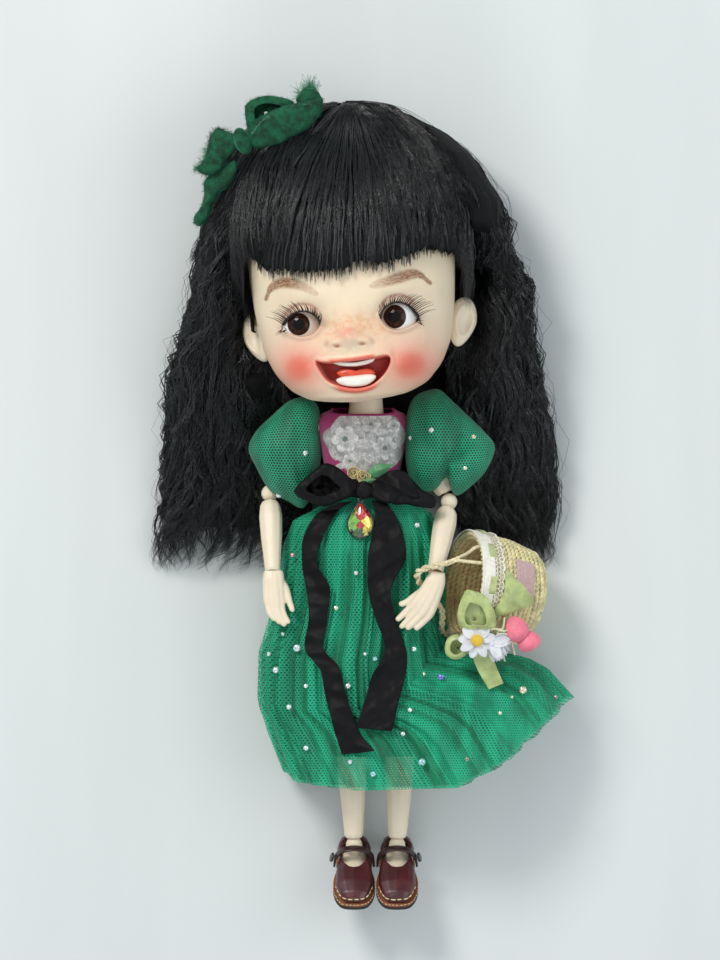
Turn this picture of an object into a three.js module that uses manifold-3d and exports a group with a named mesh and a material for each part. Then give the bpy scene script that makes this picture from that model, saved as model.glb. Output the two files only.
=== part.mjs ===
// A jointed fashion doll lying on its back, seen from above: an open-mouthed head on a
// neck post, a ball-jointed body, a long wavy wig with a velvet bow, a gathered tulle dress
// with puffed sleeves and a tied sash, strap shoes, and a wicker basket looped on one wrist.
// Millimetres. +Z is up, towards the doll's front; +Y points to the crown; +X is the doll's left.
// The origin is on the floor, under the flat back of the skirt.
import * as THREE from "three";
import Module from "manifold-3d";
import { mergeVertices } from "three/addons/utils/BufferGeometryUtils.js";

const wasm = await Module();
wasm.setup();

// Shared clearances and walls
const GAP = 0.35;
const CLOTH = 1.1;
const WIG_CAP_THICKNESS = 1;

// Body layout
const BODY_Z = 26;
const NECK_X = -1.4;
const NECK_RADIUS = 5.6;
const NECK_BALL_RADIUS = 4.4;
const NECK_STEM_RADIUS = 2.6;
const NECK_FLANGE_RADIUS = 8;
const NECK_POST_RISE = 5.6;
const NECK_FLANGE_RISE = 15.5;
const NECK_FLANGE_THICKNESS = 2.4;
const CHEST_TOP_Y = 80.5;
const NECK_BALL_Y = CHEST_TOP_Y - 3.5;
const CHEST_HALF_WIDTH = 13.8;
const CHEST_HALF_DEPTH = 9.5;
const WAIST_X = -1;
const WAIST_Y = 54;
const WAIST_HALF_WIDTH = 10.8;
const WAIST_HALF_DEPTH = 7.6;
const PELVIS_X = 1.9;
const PELVIS_HALF_WIDTH = 13.6;
const PELVIS_HALF_DEPTH = 9.2;

// Head, in its own frame: the origin is on the neck's axis at the height of the chin
const HEAD_HEIGHT = 102;
const HEAD_HALF_WIDTH = 37;
const FACE_REACH = 48;
const SKULL_REACH = 22.5;
const HEAD_WALL = 3;
const CHIN_Y = 85.2;
const HEAD_ROLL = THREE.MathUtils.degToRad(4.5);
const HEAD_TURN = THREE.MathUtils.degToRad(-6);
const EYE_SPACING = 34.7;
const EYE_HEIGHT = 29.3;
const EYE_RADIUS = 7.2;
const EYE_SINK = 0.8;
const EYE_OPENING_WIDTH = 12.2;
const EYE_OPENING_HEIGHT = 8.8;
const MOUTH_X = 0.9;
const MOUTH_WIDTH = 26.4;
const MOUTH_TOP = 15.6;
const MOUTH_DROP = 10;
const MOUTH_FLOOR_DEPTH = 8.5;
const MOUTH_LINING_WALL = 2.2;
const NOSE_HEIGHT = 23.5;
const NOSE_RADIUS = 4.3;
const EAR_HEIGHT = 26;
const EAR_LENGTH = 17.2;
const EAR_REACH = 40.8;

// Wig, in the head's frame
const FRINGE_EDGE_HEIGHT = 43.5;
const FRINGE_HALF_WIDTH = 30;
const FRINGE_TOP_HEIGHT = 84;
const NAPE_HEIGHT = 14;
const HAIR_DEPTH = 3.4;
const HAIR_DEPTH_BEHIND = 1.1;

// Arms
const SHOULDER_SPREAD = 17.5;
const SHOULDER_Y = CHEST_TOP_Y - 4;
const SHOULDER_BALL_RADIUS = 4.2;
const SHOULDER_PEG_RADIUS = 1.6;
const SHOULDER_PEG_LENGTH = 9;
const UPPER_ARM_LENGTH = 29.6;
const UPPER_ARM_RADIUS = 4.2;
const ELBOW_BALL_RADIUS = 3.9;
const FOREARM_LENGTH = 31.3;
const FOREARM_RADIUS = 4.2;
const WRIST_RADIUS = 2.7;
const WRIST_BALL_RADIUS = 2.2;
const HAND_LENGTH = 18.5;
const PALM_HALF_WIDTH = 3.9;

// Legs
const HIP_Y = 26;
const HIP_SPREAD = 8.2;
const HIP_BALL_RADIUS = 5.6;
const THIGH_LENGTH = 49;
const THIGH_RADIUS = 6.5;
const KNEE_BALL_RADIUS = 4.6;
const SHIN_LENGTH = 51;
const CALF_RADIUS = 5.3;
const ANKLE_RADIUS = 3.6;
const ANKLE_BALL_RADIUS = 3;

// Shoes, in a frame at the ankle: x outwards, y to the toes, z up the leg
const TOE_LIFT = THREE.MathUtils.degToRad(48);
const SHOE_TOE_REACH = 21.6;
const SHOE_HEEL_REACH = 8.9;
const SHOE_HALF_WIDTH = 6.6;
const SOLE_DROP = 11;
const SOLE_THICKNESS = 2.2;
const WELT_WIDTH = 0.8;
const STRAP_WIDTH = 2.4;
const STRAP_THICKNESS = 0.8;
const BUTTON_RADIUS = 1.5;
const BUTTON_THICKNESS = 0.9;

// Dress
const SKIRT_TOP_Y = 54;
const BODICE_HEM_Y = 54.4;
const SASH_WIDTH = 6;
const SASH_THICKNESS = 0.8;
const FOLD_COUNT = 14;
const FOLD_DEPTH = 1.3;
const LINING_SHARE = 0.93;
const TAIL_THICKNESS = 0.7;
const PENDANT_LENGTH = 11.5;
const PENDANT_HALF_WIDTH = 4.5;
const ROSE_RADIUS = 2.1;
const GATHER_COUNT = 9;

// Basket
const BASKET_MOUTH_RADIUS = 19.5;
const BASKET_BASE_RADIUS = 15;
const BASKET_DEPTH = 27;
const BASKET_WALL = 1.6;
const BASKET_MOUTH = new THREE.Vector3(33.4, 19.5, 25.2);
const BASKET_TILT = THREE.MathUtils.degToRad(22);
const BASKET_TURN = THREE.MathUtils.degToRad(-8);
const HANDLE_RADIUS = 1;

const SKIN = material(0xead7bf, 0.45);
const VINYL = material(0xecd9bf, 0.4);
const EYE_WHITE = material(0xf4f2ee, 0.1);
const TEETH = material(0xf3efe6, 0.25);
const TONGUE = material(0xd2553a, 0.35);
const MOUTH = material(0x7c1f22, 0.4);
const MESH_CAP = material(0x1b1a1c, 0.9);
const HAIR = material(0x111114, 0.45);
const VELVET = material(0x0b4a2f, 0.95);
const TULLE = material(0x0f8e68, 0.8);
const LINING = material(0x0a7152, 0.85);
const COTTON = material(0xa83468, 0.9);
const RIBBON = material(0x121214, 0.8);
const CRYSTAL = material(0xb4552a, 0.05);
const LEATHER = material(0x4a1b20, 0.4);
const SOLE = material(0x7a4125, 0.6);
const WICKER = material(0xd8c08c, 0.85);
const SILK = material(0xb9cf86, 0.6);

function material(color, roughness, metalness = 0) {
  return new THREE.MeshStandardMaterial({ color, roughness, metalness });
}

function vec(x, y, z) {
  return new THREE.Vector3(x, y, z);
}

// Linear reading of a table whose rows start with the position along it
function reading(table, at, column = 1) {
  if (at <= table[0][0]) return table[0][column];
  for (let i = 1; i < table.length; i++) {
    if (at > table[i][0]) continue;
    const share = (at - table[i - 1][0]) / (table[i][0] - table[i - 1][0]);
    return THREE.MathUtils.lerp(table[i - 1][column], table[i][column], share);
  }
  return table.at(-1)[column];
}

// Closed surfaces from rings of points

function surface(points, triangles) {
  const position = points.flatMap((p) => [p.x, p.y, p.z]);
  const signed = triangles.reduce((sum, _, i) => {
    if (i % 3) return sum;
    const [a, b, c] = [0, 1, 2].map((k) => points[triangles[i + k]]);
    return sum + a.dot(vec().crossVectors(b, c));
  }, 0);
  const index = signed < 0 ? triangles.toReversed() : triangles;
  const geometry = new THREE.BufferGeometry();
  geometry.setAttribute("position", new THREE.Float32BufferAttribute(position, 3));
  geometry.setIndex(index);
  return geometry;
}

function bands(rows, count, joined) {
  const triangles = [];
  for (let i = 0; i + 1 < rows + (joined ? 1 : 0); i++)
    for (let j = 0; j < count; j++) {
      const here = (i % rows) * count;
      const next = ((i + 1) % rows) * count;
      const after = (j + 1) % count;
      triangles.push(here + j, here + after, next + after);
      triangles.push(here + j, next + after, next + j);
    }
  return triangles;
}

// A body through open rings, closed by a fan at each end
function loft(rings) {
  const count = rings[0].length;
  const points = rings.flat();
  const triangles = bands(rings.length, count, false);
  const centreOf = (ring) => ring.reduce((sum, p) => sum.add(p), vec(0, 0, 0)).divideScalar(count);
  const first = points.push(centreOf(rings[0])) - 1;
  const last = points.push(centreOf(rings.at(-1))) - 1;
  const end = (rings.length - 1) * count;
  for (let j = 0; j < count; j++) {
    const after = (j + 1) % count;
    triangles.push(first, after, j);
    triangles.push(last, end + j, end + after);
  }
  return surface(points, triangles);
}

// A ring-shaped body, whose last ring meets its first
function hoop(rings) {
  return surface(rings.flat(), bands(rings.length, rings[0].length, true));
}

function roundRing(centre, across, along, halfAcross, halfAlong, count = 12, power = 2) {
  const ring = [];
  for (let j = 0; j < count; j++) {
    const angle = (j / count) * Math.PI * 2;
    const [c, s] = [Math.cos(angle), Math.sin(angle)];
    const a = Math.sign(c) * Math.abs(c) ** (2 / power) * halfAcross;
    const b = Math.sign(s) * Math.abs(s) ** (2 / power) * halfAlong;
    ring.push(centre.clone().addScaledVector(across, a).addScaledVector(along, b));
  }
  return ring;
}

// Rings square to a spine. Each station is [point, half-size across, half-size along].
function spineRings(stations, across, count, power) {
  return stations.map(([point, halfAcross, halfAlong = halfAcross], i) => {
    const before = stations[Math.max(0, i - 1)][0];
    const after = stations[Math.min(stations.length - 1, i + 1)][0];
    const tangent = vec().subVectors(after, before).normalize();
    const along = vec().crossVectors(tangent, across).normalize();
    const side = vec().crossVectors(along, tangent).normalize();
    return roundRing(point, side, along, halfAcross, halfAlong, count, power);
  });
}

function limb(stations, across, count = 12, power = 2) {
  return loft(spineRings(stations, across, count, power));
}

// A limb between two points: each row is [distance from the start, half-size, half-size]
function straightLimb(start, end, rows, across, count = 12) {
  const direction = vec().subVectors(end, start).normalize();
  return limb(
    rows.map(([at, a, b = a]) => [start.clone().addScaledVector(direction, at), a, b]),
    across,
    count,
  );
}

// A body whose sections stand square to Y: rows of [x, y, z, half-width, half-depth]
function upright(rows, count = 20, power = 2) {
  return loft(
    rows.map(([x, y, z, halfWidth, halfDepth]) =>
      roundRing(vec(x, y, z), vec(1, 0, 0), vec(0, 0, 1), halfWidth, halfDepth, count, power),
    ),
  );
}

// A flat band along a path: each station is [point, direction of its width, width]
function ribbon(stations, thickness) {
  const rings = stations.map(([point, widthDirection, width], i) => {
    const before = stations[Math.max(0, i - 1)][0];
    const after = stations[Math.min(stations.length - 1, i + 1)][0];
    const tangent = vec().subVectors(after, before).normalize();
    const face = vec().crossVectors(tangent, widthDirection).normalize();
    const side = vec().crossVectors(face, tangent).normalize();
    const corner = (a, b) =>
      point
        .clone()
        .addScaledVector(side, (a * width) / 2)
        .addScaledVector(face, (b * thickness) / 2);
    return [corner(-1, -1), corner(1, -1), corner(1, 1), corner(-1, 1)];
  });
  return loft(rings);
}

function ball(centre, radius, around = 10, down = 7) {
  return new THREE.SphereGeometry(radius, around, down).translate(...centre.toArray());
}

function rod(start, end, radius, around = 12) {
  const length = start.distanceTo(end);
  const turn = new THREE.Quaternion().setFromUnitVectors(
    vec(0, 1, 0),
    vec().subVectors(end, start).normalize(),
  );
  const middle = start.clone().lerp(end, 0.5);
  return new THREE.CylinderGeometry(radius, radius, length, around)
    .applyQuaternion(turn)
    .translate(...middle.toArray());
}

function block(low, high) {
  const size = vec().subVectors(high, low);
  const middle = low.clone().lerp(high, 0.5);
  return new THREE.BoxGeometry(...size.toArray()).translate(...middle.toArray());
}

// A box around a centre, turned so that its sides follow three directions
function turnedBlock(centre, directions, halfSizes) {
  const matrix = new THREE.Matrix4().makeBasis(...directions).setPosition(centre);
  return new THREE.BoxGeometry(...halfSizes.map((half) => 2 * half)).applyMatrix4(matrix);
}

// Joins and cuts

function solidOf(geometry) {
  const bare = new THREE.BufferGeometry();
  bare.setAttribute("position", geometry.getAttribute("position").clone());
  if (geometry.index) bare.setIndex(geometry.index.clone());
  const merged = mergeVertices(bare, 1e-4);
  const vertProperties = merged.getAttribute("position").array;
  const triVerts = new Uint32Array(merged.index.array);
  return new wasm.Manifold(new wasm.Mesh({ numProp: 3, vertProperties, triVerts }));
}

function geometryOf(solid) {
  const mesh = solid.getMesh();
  const geometry = new THREE.BufferGeometry();
  geometry.setAttribute("position", new THREE.BufferAttribute(mesh.vertProperties, 3));
  geometry.setIndex(new THREE.BufferAttribute(mesh.triVerts, 1));
  return geometry;
}

function cut(geometry, ...cutters) {
  return geometryOf(cutters.reduce((left, c) => left.subtract(solidOf(c)), solidOf(geometry)));
}

function join(geometry, ...others) {
  return geometryOf(others.reduce((sum, o) => sum.add(solidOf(o)), solidOf(geometry)));
}

function common(geometry, ...others) {
  return geometryOf(others.reduce((both, o) => both.intersect(solidOf(o)), solidOf(geometry)));
}

// What is left of a cut body once its loose scraps are dropped
function largest(geometry) {
  const bodies = solidOf(geometry).decompose();
  return geometryOf(bodies.reduce((a, b) => (b.volume() > a.volume() ? b : a)));
}

const doll = new THREE.Group();

function place(name, geometry, finish, group = doll) {
  const mesh = new THREE.Mesh(geometry, finish);
  mesh.name = name;
  group.add(mesh);
  return mesh;
}

// Torso

const along = (point, direction, distance) => point.clone().addScaledVector(direction, distance);
const mirrored = (side, x) => (side === "l" ? x : -x);

function torsoShape(grow = 0, count = 14) {
  const rows = [
    [PELVIS_X, HIP_Y - 6 - grow, 2.4, 2.6],
    [PELVIS_X, HIP_Y - 3, 4.6, 5],
    [PELVIS_X, HIP_Y + 3, PELVIS_HALF_WIDTH - 2.6, PELVIS_HALF_DEPTH - 1.8],
    [PELVIS_X, HIP_Y + 9, PELVIS_HALF_WIDTH, PELVIS_HALF_DEPTH],
    [PELVIS_X / 2, (HIP_Y + WAIST_Y) / 2 + 5, WAIST_HALF_WIDTH + 1.2, WAIST_HALF_DEPTH + 0.8],
    [WAIST_X, WAIST_Y, WAIST_HALF_WIDTH, WAIST_HALF_DEPTH],
    [WAIST_X, WAIST_Y + 10, CHEST_HALF_WIDTH - 1.8, CHEST_HALF_DEPTH - 1.2],
    [NECK_X, SHOULDER_Y - 3, CHEST_HALF_WIDTH, CHEST_HALF_DEPTH],
    [NECK_X, CHEST_TOP_Y - 2, CHEST_HALF_WIDTH - 1.6, CHEST_HALF_DEPTH - 2],
    [NECK_X, CHEST_TOP_Y + grow, NECK_RADIUS + 1.4, NECK_RADIUS + 0.6],
  ];
  const grown = ([x, y, width, depth]) => [x, y, BODY_Z, width + grow, depth + grow];
  return upright(rows.map(grown), count);
}

const neckBall = vec(NECK_X, NECK_BALL_Y, BODY_Z);

function shoulderAt(side) {
  return vec(NECK_X + mirrored(side, SHOULDER_SPREAD), SHOULDER_Y, BODY_Z);
}

function hipAt(side) {
  return vec(PELVIS_X + mirrored(side, HIP_SPREAD), HIP_Y, BODY_Z);
}

function shoulderPeg(side, grow = 0) {
  const inwards = vec(mirrored(side, -1), 0, 0);
  const centre = shoulderAt(side);
  return rod(centre, along(centre, inwards, SHOULDER_PEG_LENGTH + grow), SHOULDER_PEG_RADIUS + grow, 10);
}

function torso() {
  const neckWay = rod(neckBall, vec(NECK_X, CHEST_TOP_Y + 4, BODY_Z), NECK_STEM_RADIUS + 1.6);
  const sockets = ["r", "l"].flatMap((side) => [
    ball(shoulderAt(side), SHOULDER_BALL_RADIUS + GAP),
    shoulderPeg(side, GAP),
    ball(hipAt(side), HIP_BALL_RADIUS + GAP),
  ]);
  return cut(torsoShape(), ball(neckBall, NECK_BALL_RADIUS + GAP), neckWay, ...sockets);
}

function neck() {
  const neckRise = vec(0, 1, 0);
  const postFoot = along(neckBall, neckRise, NECK_POST_RISE);
  const flangeFoot = along(neckBall, neckRise, NECK_FLANGE_RISE);
  const flangeTop = along(flangeFoot, neckRise, NECK_FLANGE_THICKNESS);
  const stem = rod(neckBall, along(postFoot, neckRise, 1), NECK_STEM_RADIUS);
  const post = rod(postFoot, flangeTop, NECK_RADIUS, 14);
  const flange = rod(flangeFoot, flangeTop, NECK_FLANGE_RADIUS, 14);
  return join(ball(neckBall, NECK_BALL_RADIUS), stem, post, flange);
}

place("torso", torso(), SKIN);
place("neck", neck(), SKIN);

// Head: rows of [height, half-width, reach of the face, reach of the skull], each a share

const HEAD_ROWS = [
  [0, 0.19, 0.79, -1.07],
  [0.015, 0.41, 0.855, -0.44],
  [0.04, 0.58, 0.906, 0.27],
  [0.09, 0.74, 0.955, 0.66],
  [0.17, 0.87, 0.99, 0.88],
  [0.29, 0.946, 1, 0.98],
  [0.41, 0.984, 0.99, 1],
  [0.54, 1, 0.958, 1],
  [0.67, 0.97, 0.875, 0.955],
  [0.78, 0.87, 0.75, 0.8],
  [0.88, 0.69, 0.57, 0.53],
  [0.96, 0.41, 0.36, 0.18],
];
const HEAD_POWER = 2.2;
const HEAD_SIDES = 16;

function headShape(grow = 0, beyond = {}) {
  const { side = 0, front = 0, back = 0, top = 0 } = beyond;
  const rings = HEAD_ROWS.map(([height, width, face, skull]) => {
    const rise = height * (HEAD_HEIGHT + grow * 2 + top) - grow;
    const forward = face * FACE_REACH + grow + front;
    const behind = skull * SKULL_REACH + grow + back;
    const centre = vec(0, rise, (forward - behind) / 2);
    const halfWidth = width * HEAD_HALF_WIDTH + grow + side;
    const halfDepth = (forward + behind) / 2;
    return roundRing(centre, vec(1, 0, 0), vec(0, 0, 1), halfWidth, halfDepth, HEAD_SIDES, HEAD_POWER);
  });
  return loft(rings);
}

// How far forward the face stands at a place on it
function faceDepth(x, height) {
  const [halfWidth, forward, behind] = [1, 2, 3].map((column) => {
    const size = [HEAD_HALF_WIDTH, FACE_REACH, SKULL_REACH][column - 1];
    return size * reading(HEAD_ROWS, height / HEAD_HEIGHT, column);
  });
  const rest = 1 - Math.abs(x / halfWidth) ** HEAD_POWER;
  return (forward - behind) / 2 + ((forward + behind) / 2) * rest ** (1 / HEAD_POWER);
}

const head = new THREE.Group();
head.position.set(NECK_X, CHIN_Y, BODY_Z);
head.rotation.set(0, HEAD_TURN, HEAD_ROLL);
head.updateMatrix();
doll.add(head);

const outOfHead = (geometry) => geometry.clone().applyMatrix4(head.matrix);
const intoHead = (geometry) => geometry.clone().applyMatrix4(head.matrix.clone().invert());

// All that lies above a slope, given by its heights at the face and behind the skull
function aboveSlope(frontHeight, backHeight) {
  const reach = 120;
  const run = FACE_REACH + SKULL_REACH;
  const rise = vec(0, run, backHeight - frontHeight).normalize();
  const foot = vec(0, frontHeight, FACE_REACH);
  const directions = [vec(1, 0, 0), rise, vec().crossVectors(vec(1, 0, 0), rise)];
  return turnedBlock(along(foot, rise, reach), directions, [reach, reach, 2 * reach]);
}

function ellipsoid(centre, halfX, halfY, halfZ, around = 8, down = 6) {
  return new THREE.SphereGeometry(1, around, down)
    .scale(halfX, halfY, halfZ)
    .translate(...centre.toArray());
}

function ear(side, grow = 0) {
  const root = HEAD_HALF_WIDTH * reading(HEAD_ROWS, EAR_HEIGHT / HEAD_HEIGHT) - 1.5;
  const centre = vec(mirrored(side, root), EAR_HEIGHT, 2);
  return ellipsoid(centre, EAR_REACH - root + grow, EAR_LENGTH / 2 + grow, 5 + grow);
}

function eyeAt(side) {
  const x = mirrored(side, EYE_SPACING / 2);
  return vec(x, EYE_HEIGHT, faceDepth(x, EYE_HEIGHT) - EYE_SINK - EYE_RADIUS);
}

function eyeOpening(side) {
  const { x, y, z } = eyeAt(side);
  const ring = (depth) =>
    roundRing(
      vec(x, y, depth),
      vec(1, 0, 0),
      vec(0, 1, 0),
      EYE_OPENING_WIDTH / 2,
      EYE_OPENING_HEIGHT / 2,
      16,
    );
  return loft([ring(z + EYE_RADIUS / 2), ring(FACE_REACH + 5)]);
}

const MOUTH_FLOOR_Z = FACE_REACH - MOUTH_FLOOR_DEPTH;

// The D shape of the open mouth, between two depths
function mouthShape(from, to, grow = 0) {
  const outline = (z) => {
    const ring = [];
    for (let j = 0; j < 16; j++) {
      const angle = (j / 16) * 2 * Math.PI;
      const drop = Math.sin(angle) > 0 ? 0.8 + grow : MOUTH_DROP + grow;
      const x = MOUTH_X + (MOUTH_WIDTH / 2 + grow) * Math.cos(angle);
      ring.push(vec(x, MOUTH_TOP + drop * Math.sin(angle), z));
    }
    return ring;
  };
  return loft([outline(from), outline(to)]);
}

function headHollow() {
  const neckHole = intoHead(
    rod(
      along(neckBall, vec(0, 1, 0), NECK_POST_RISE),
      along(neckBall, vec(0, 1, 0), 30),
      NECK_RADIUS + GAP,
      14,
    ),
  );
  const flangeRoom = intoHead(
    rod(
      along(neckBall, vec(0, 1, 0), NECK_FLANGE_RISE - GAP),
      along(neckBall, vec(0, 1, 0), 30),
      NECK_FLANGE_RADIUS + GAP,
      14,
    ),
  );
  return join(headShape(-HEAD_WALL), neckHole, flangeRoom);
}

const CAP_SEAM_FRONT = 78;
const CAP_SEAM_BACK = 44;

function headShell() {
  const nose = ellipsoid(
    vec(MOUTH_X, NOSE_HEIGHT, faceDepth(0, NOSE_HEIGHT) - 1),
    NOSE_RADIUS,
    NOSE_RADIUS * 0.8,
    NOSE_RADIUS,
  );
  const solid = join(headShape(), nose, ear("r"), ear("l"));
  const openings = ["r", "l"].flatMap((side) => [
    eyeOpening(side),
    ball(eyeAt(side), EYE_RADIUS + GAP, 12, 8),
  ]);
  const mouth = mouthShape(MOUTH_FLOOR_Z, FACE_REACH + 5);
  return largest(
    cut(solid, headHollow(), ...openings, mouth, aboveSlope(CAP_SEAM_FRONT, CAP_SEAM_BACK)),
  );
}

function headCap() {
  const above = aboveSlope(CAP_SEAM_FRONT + GAP, CAP_SEAM_BACK + GAP);
  return cut(common(headShape(), above), headShape(-HEAD_WALL));
}

function mouthLining() {
  const block = mouthShape(MOUTH_FLOOR_Z - MOUTH_LINING_WALL, FACE_REACH, MOUTH_LINING_WALL);
  const lining = common(block, headShape(-HEAD_WALL - GAP));
  return largest(cut(lining, mouthShape(MOUTH_FLOOR_Z, FACE_REACH + 5)));
}

// Teeth and tongue stand on the floor of the mouth, clear of its edge
function mouthPiece(height, halfWidth, halfHeight, rise) {
  const centre = vec(MOUTH_X, height, MOUTH_FLOOR_Z + GAP);
  const solid = ellipsoid(centre, halfWidth, halfHeight, rise, 12, 6);
  const floor = block(vec(-20, 0, centre.z), vec(20, HEAD_HEIGHT, FACE_REACH));
  return common(solid, floor, mouthShape(MOUTH_FLOOR_Z, FACE_REACH, -GAP));
}

place("head_shell", headShell(), VINYL, head);
place("head_cap", headCap(), VINYL, head);
place("mouth_lining", mouthLining(), MOUTH, head);
place("upper_teeth", mouthPiece(MOUTH_TOP - 1.6, 7.6, 1.5, 4.2), TEETH, head);
place("tongue", mouthPiece(MOUTH_TOP - 5, 6.6, 1.6, 3.6), TONGUE, head);
place("lower_teeth", mouthPiece(MOUTH_TOP - 8.2, 7, 1.3, 4), TEETH, head);
for (const side of ["r", "l"]) place(`eye_${side}`, ball(eyeAt(side), EYE_RADIUS, 12, 8), EYE_WHITE, head);

// Wig: a net cap, with the crown and the fringe over it

const WIG_LIFT = GAP + WIG_CAP_THICKNESS;

function wigCap() {
  const shell = cut(headShape(WIG_LIFT), headShape(GAP), ear("r", GAP), ear("l", GAP));
  return largest(common(shell, aboveSlope(FRINGE_EDGE_HEIGHT + 8, NAPE_HEIGHT + 3)));
}

function hairDome(grow = 0) {
  const beyond = { side: 4.2, front: HAIR_DEPTH, back: HAIR_DEPTH_BEHIND, top: 4 };
  return common(
    headShape(WIG_LIFT + GAP + grow, beyond),
    aboveSlope(FRINGE_EDGE_HEIGHT - grow, NAPE_HEIGHT - grow),
  );
}

function fringeRoom(grow = 0) {
  const half = FRINGE_HALF_WIDTH + grow;
  return block(vec(-half, 0, 8 - grow), vec(half, FRINGE_TOP_HEIGHT + grow, 2 * FACE_REACH));
}

function hairShell() {
  return cut(hairDome(), headShape(WIG_LIFT + GAP), ear("r", GAP), ear("l", GAP));
}

place("wig_cap", wigCap(), MESH_CAP, head);
place("hair_crown", largest(cut(hairShell(), fringeRoom(GAP))), HAIR, head);
place("hair_fringe", largest(common(hairShell(), fringeRoom())), HAIR, head);

// Limbs: rows of [distance from the joint, radius], towards the next joint

const ARMS = {
  r: { upper: vec(-16.6, -23.4, -3), fore: vec(1.1, -29.3, 11.5), hand: vec(4.7, -18, 3.4) },
  l: { upper: vec(12.4, -27.5, 1), fore: vec(-5.4, -27.5, 16), hand: vec(-9.3, -16.5, -1.5) },
};
const LEGS = {
  r: { thigh: vec(-0.9, -49, -5), shin: vec(1.5, -50.7, -6.5) },
  l: { thigh: vec(1, -49, -5), shin: vec(-1.4, -50.7, -6.5) },
};
for (const side of ["r", "l"]) {
  const arm = ARMS[side];
  const leg = LEGS[side];
  for (const way of [arm.upper, arm.fore, arm.hand, leg.thigh, leg.shin]) way.normalize();
  arm.shoulder = shoulderAt(side);
  arm.elbow = along(arm.shoulder, arm.upper, UPPER_ARM_LENGTH);
  arm.wrist = along(arm.elbow, arm.fore, FOREARM_LENGTH);
  leg.hip = hipAt(side);
  leg.knee = along(leg.hip, leg.thigh, THIGH_LENGTH);
  leg.ankle = along(leg.knee, leg.shin, SHIN_LENGTH);
}

// A limb between two balls, hollowed at each end to cup them
function cuppedLimb(from, way, rows, fromBall, toBall, grow = 0) {
  const grown = rows.map(([at, radius]) => [at, radius + grow]);
  grown[0][0] -= grow;
  grown.at(-1)[0] += grow;
  const end = along(from, way, grown.at(-1)[0]);
  const solid = straightLimb(from, end, grown, vec(1, 0, 0), 9);
  if (grow) return solid;
  return cut(solid, ball(from, fromBall + GAP), ball(toBall.centre, toBall.radius + GAP));
}

function upperArm(side, grow = 0) {
  const { shoulder, elbow, upper } = ARMS[side];
  const rows = [
    [3.2, 2.4],
    [6, 3.6],
    [11, UPPER_ARM_RADIUS],
    [UPPER_ARM_LENGTH - 9, UPPER_ARM_RADIUS],
    [UPPER_ARM_LENGTH - 5, 3.6],
    [UPPER_ARM_LENGTH - 3, 2.6],
  ];
  const last = { centre: elbow, radius: ELBOW_BALL_RADIUS };
  return cuppedLimb(shoulder, upper, rows, SHOULDER_BALL_RADIUS, last, grow);
}

function forearm(side, grow = 0) {
  const { elbow, wrist, fore } = ARMS[side];
  const rows = [
    [3, 2.6],
    [5, 3.7],
    [9, FOREARM_RADIUS],
    [17, FOREARM_RADIUS - 0.4],
    [25, WRIST_RADIUS + 0.4],
    [FOREARM_LENGTH - 1.2, WRIST_RADIUS],
  ];
  const last = { centre: wrist, radius: WRIST_BALL_RADIUS };
  return cuppedLimb(elbow, fore, rows, ELBOW_BALL_RADIUS, last, grow);
}

// Palm down, with the thumb towards the body
function hand(side) {
  const { wrist, hand: way } = ARMS[side];
  const thumbward = vec(mirrored(side, -1), 0, 0);
  const across = along(thumbward, way, -thumbward.dot(way)).normalize();
  const palm = straightLimb(
    wrist,
    along(wrist, way, 12),
    [[0, 1.7, 1.5], [2.6, 2.5, 1.9], [6, PALM_HALF_WIDTH, 2.1], [12, PALM_HALF_WIDTH - 0.3, 1.7]],
    across,
    8,
  );
  const fingers = [-1.5, -0.5, 0.5, 1.5].map((place) => {
    const root = along(along(wrist, way, 9.5), across, place * 1.85);
    const reach = HAND_LENGTH - 9.5 - 0.7 * Math.abs(place - 0.3);
    const tip = along(along(root, way, reach), across, place * 0.5);
    return straightLimb(root, tip, [[0, 1.15], [reach, 0.8]], across, 5);
  });
  const thumbRoot = along(along(wrist, way, 5), across, PALM_HALF_WIDTH - 1.8);
  const thumbTip = along(along(thumbRoot, way, 6), across, 4.6);
  const thumb = straightLimb(thumbRoot, thumbTip, [[0, 1.3], [7, 0.8]], across, 5);
  return join(ball(wrist, WRIST_BALL_RADIUS), palm, ...fingers, thumb);
}

function thigh(side, grow = 0) {
  const { hip, knee, thigh: way } = LEGS[side];
  const rows = [
    [4.2, 3.8],
    [8, 5.4],
    [15, THIGH_RADIUS],
    [28, THIGH_RADIUS - 0.3],
    [THIGH_LENGTH - 6, KNEE_BALL_RADIUS + 0.4],
    [THIGH_LENGTH - 3.6, KNEE_BALL_RADIUS - 1],
  ];
  const last = { centre: knee, radius: KNEE_BALL_RADIUS };
  return cuppedLimb(hip, way, rows, HIP_BALL_RADIUS, last, grow);
}

function shin(side, grow = 0) {
  const { knee, ankle, shin: way } = LEGS[side];
  const rows = [
    [3.5, 3.3],
    [6, 4.6],
    [15, CALF_RADIUS],
    [26, CALF_RADIUS - 0.1],
    [40, ANKLE_RADIUS + 0.4],
    [SHIN_LENGTH - 3.5, ANKLE_RADIUS - 0.2],
    [SHIN_LENGTH - 2.2, ANKLE_RADIUS - 1],
  ];
  const last = { centre: ankle, radius: ANKLE_BALL_RADIUS };
  return cuppedLimb(knee, way, rows, KNEE_BALL_RADIUS, last, grow);
}

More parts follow.
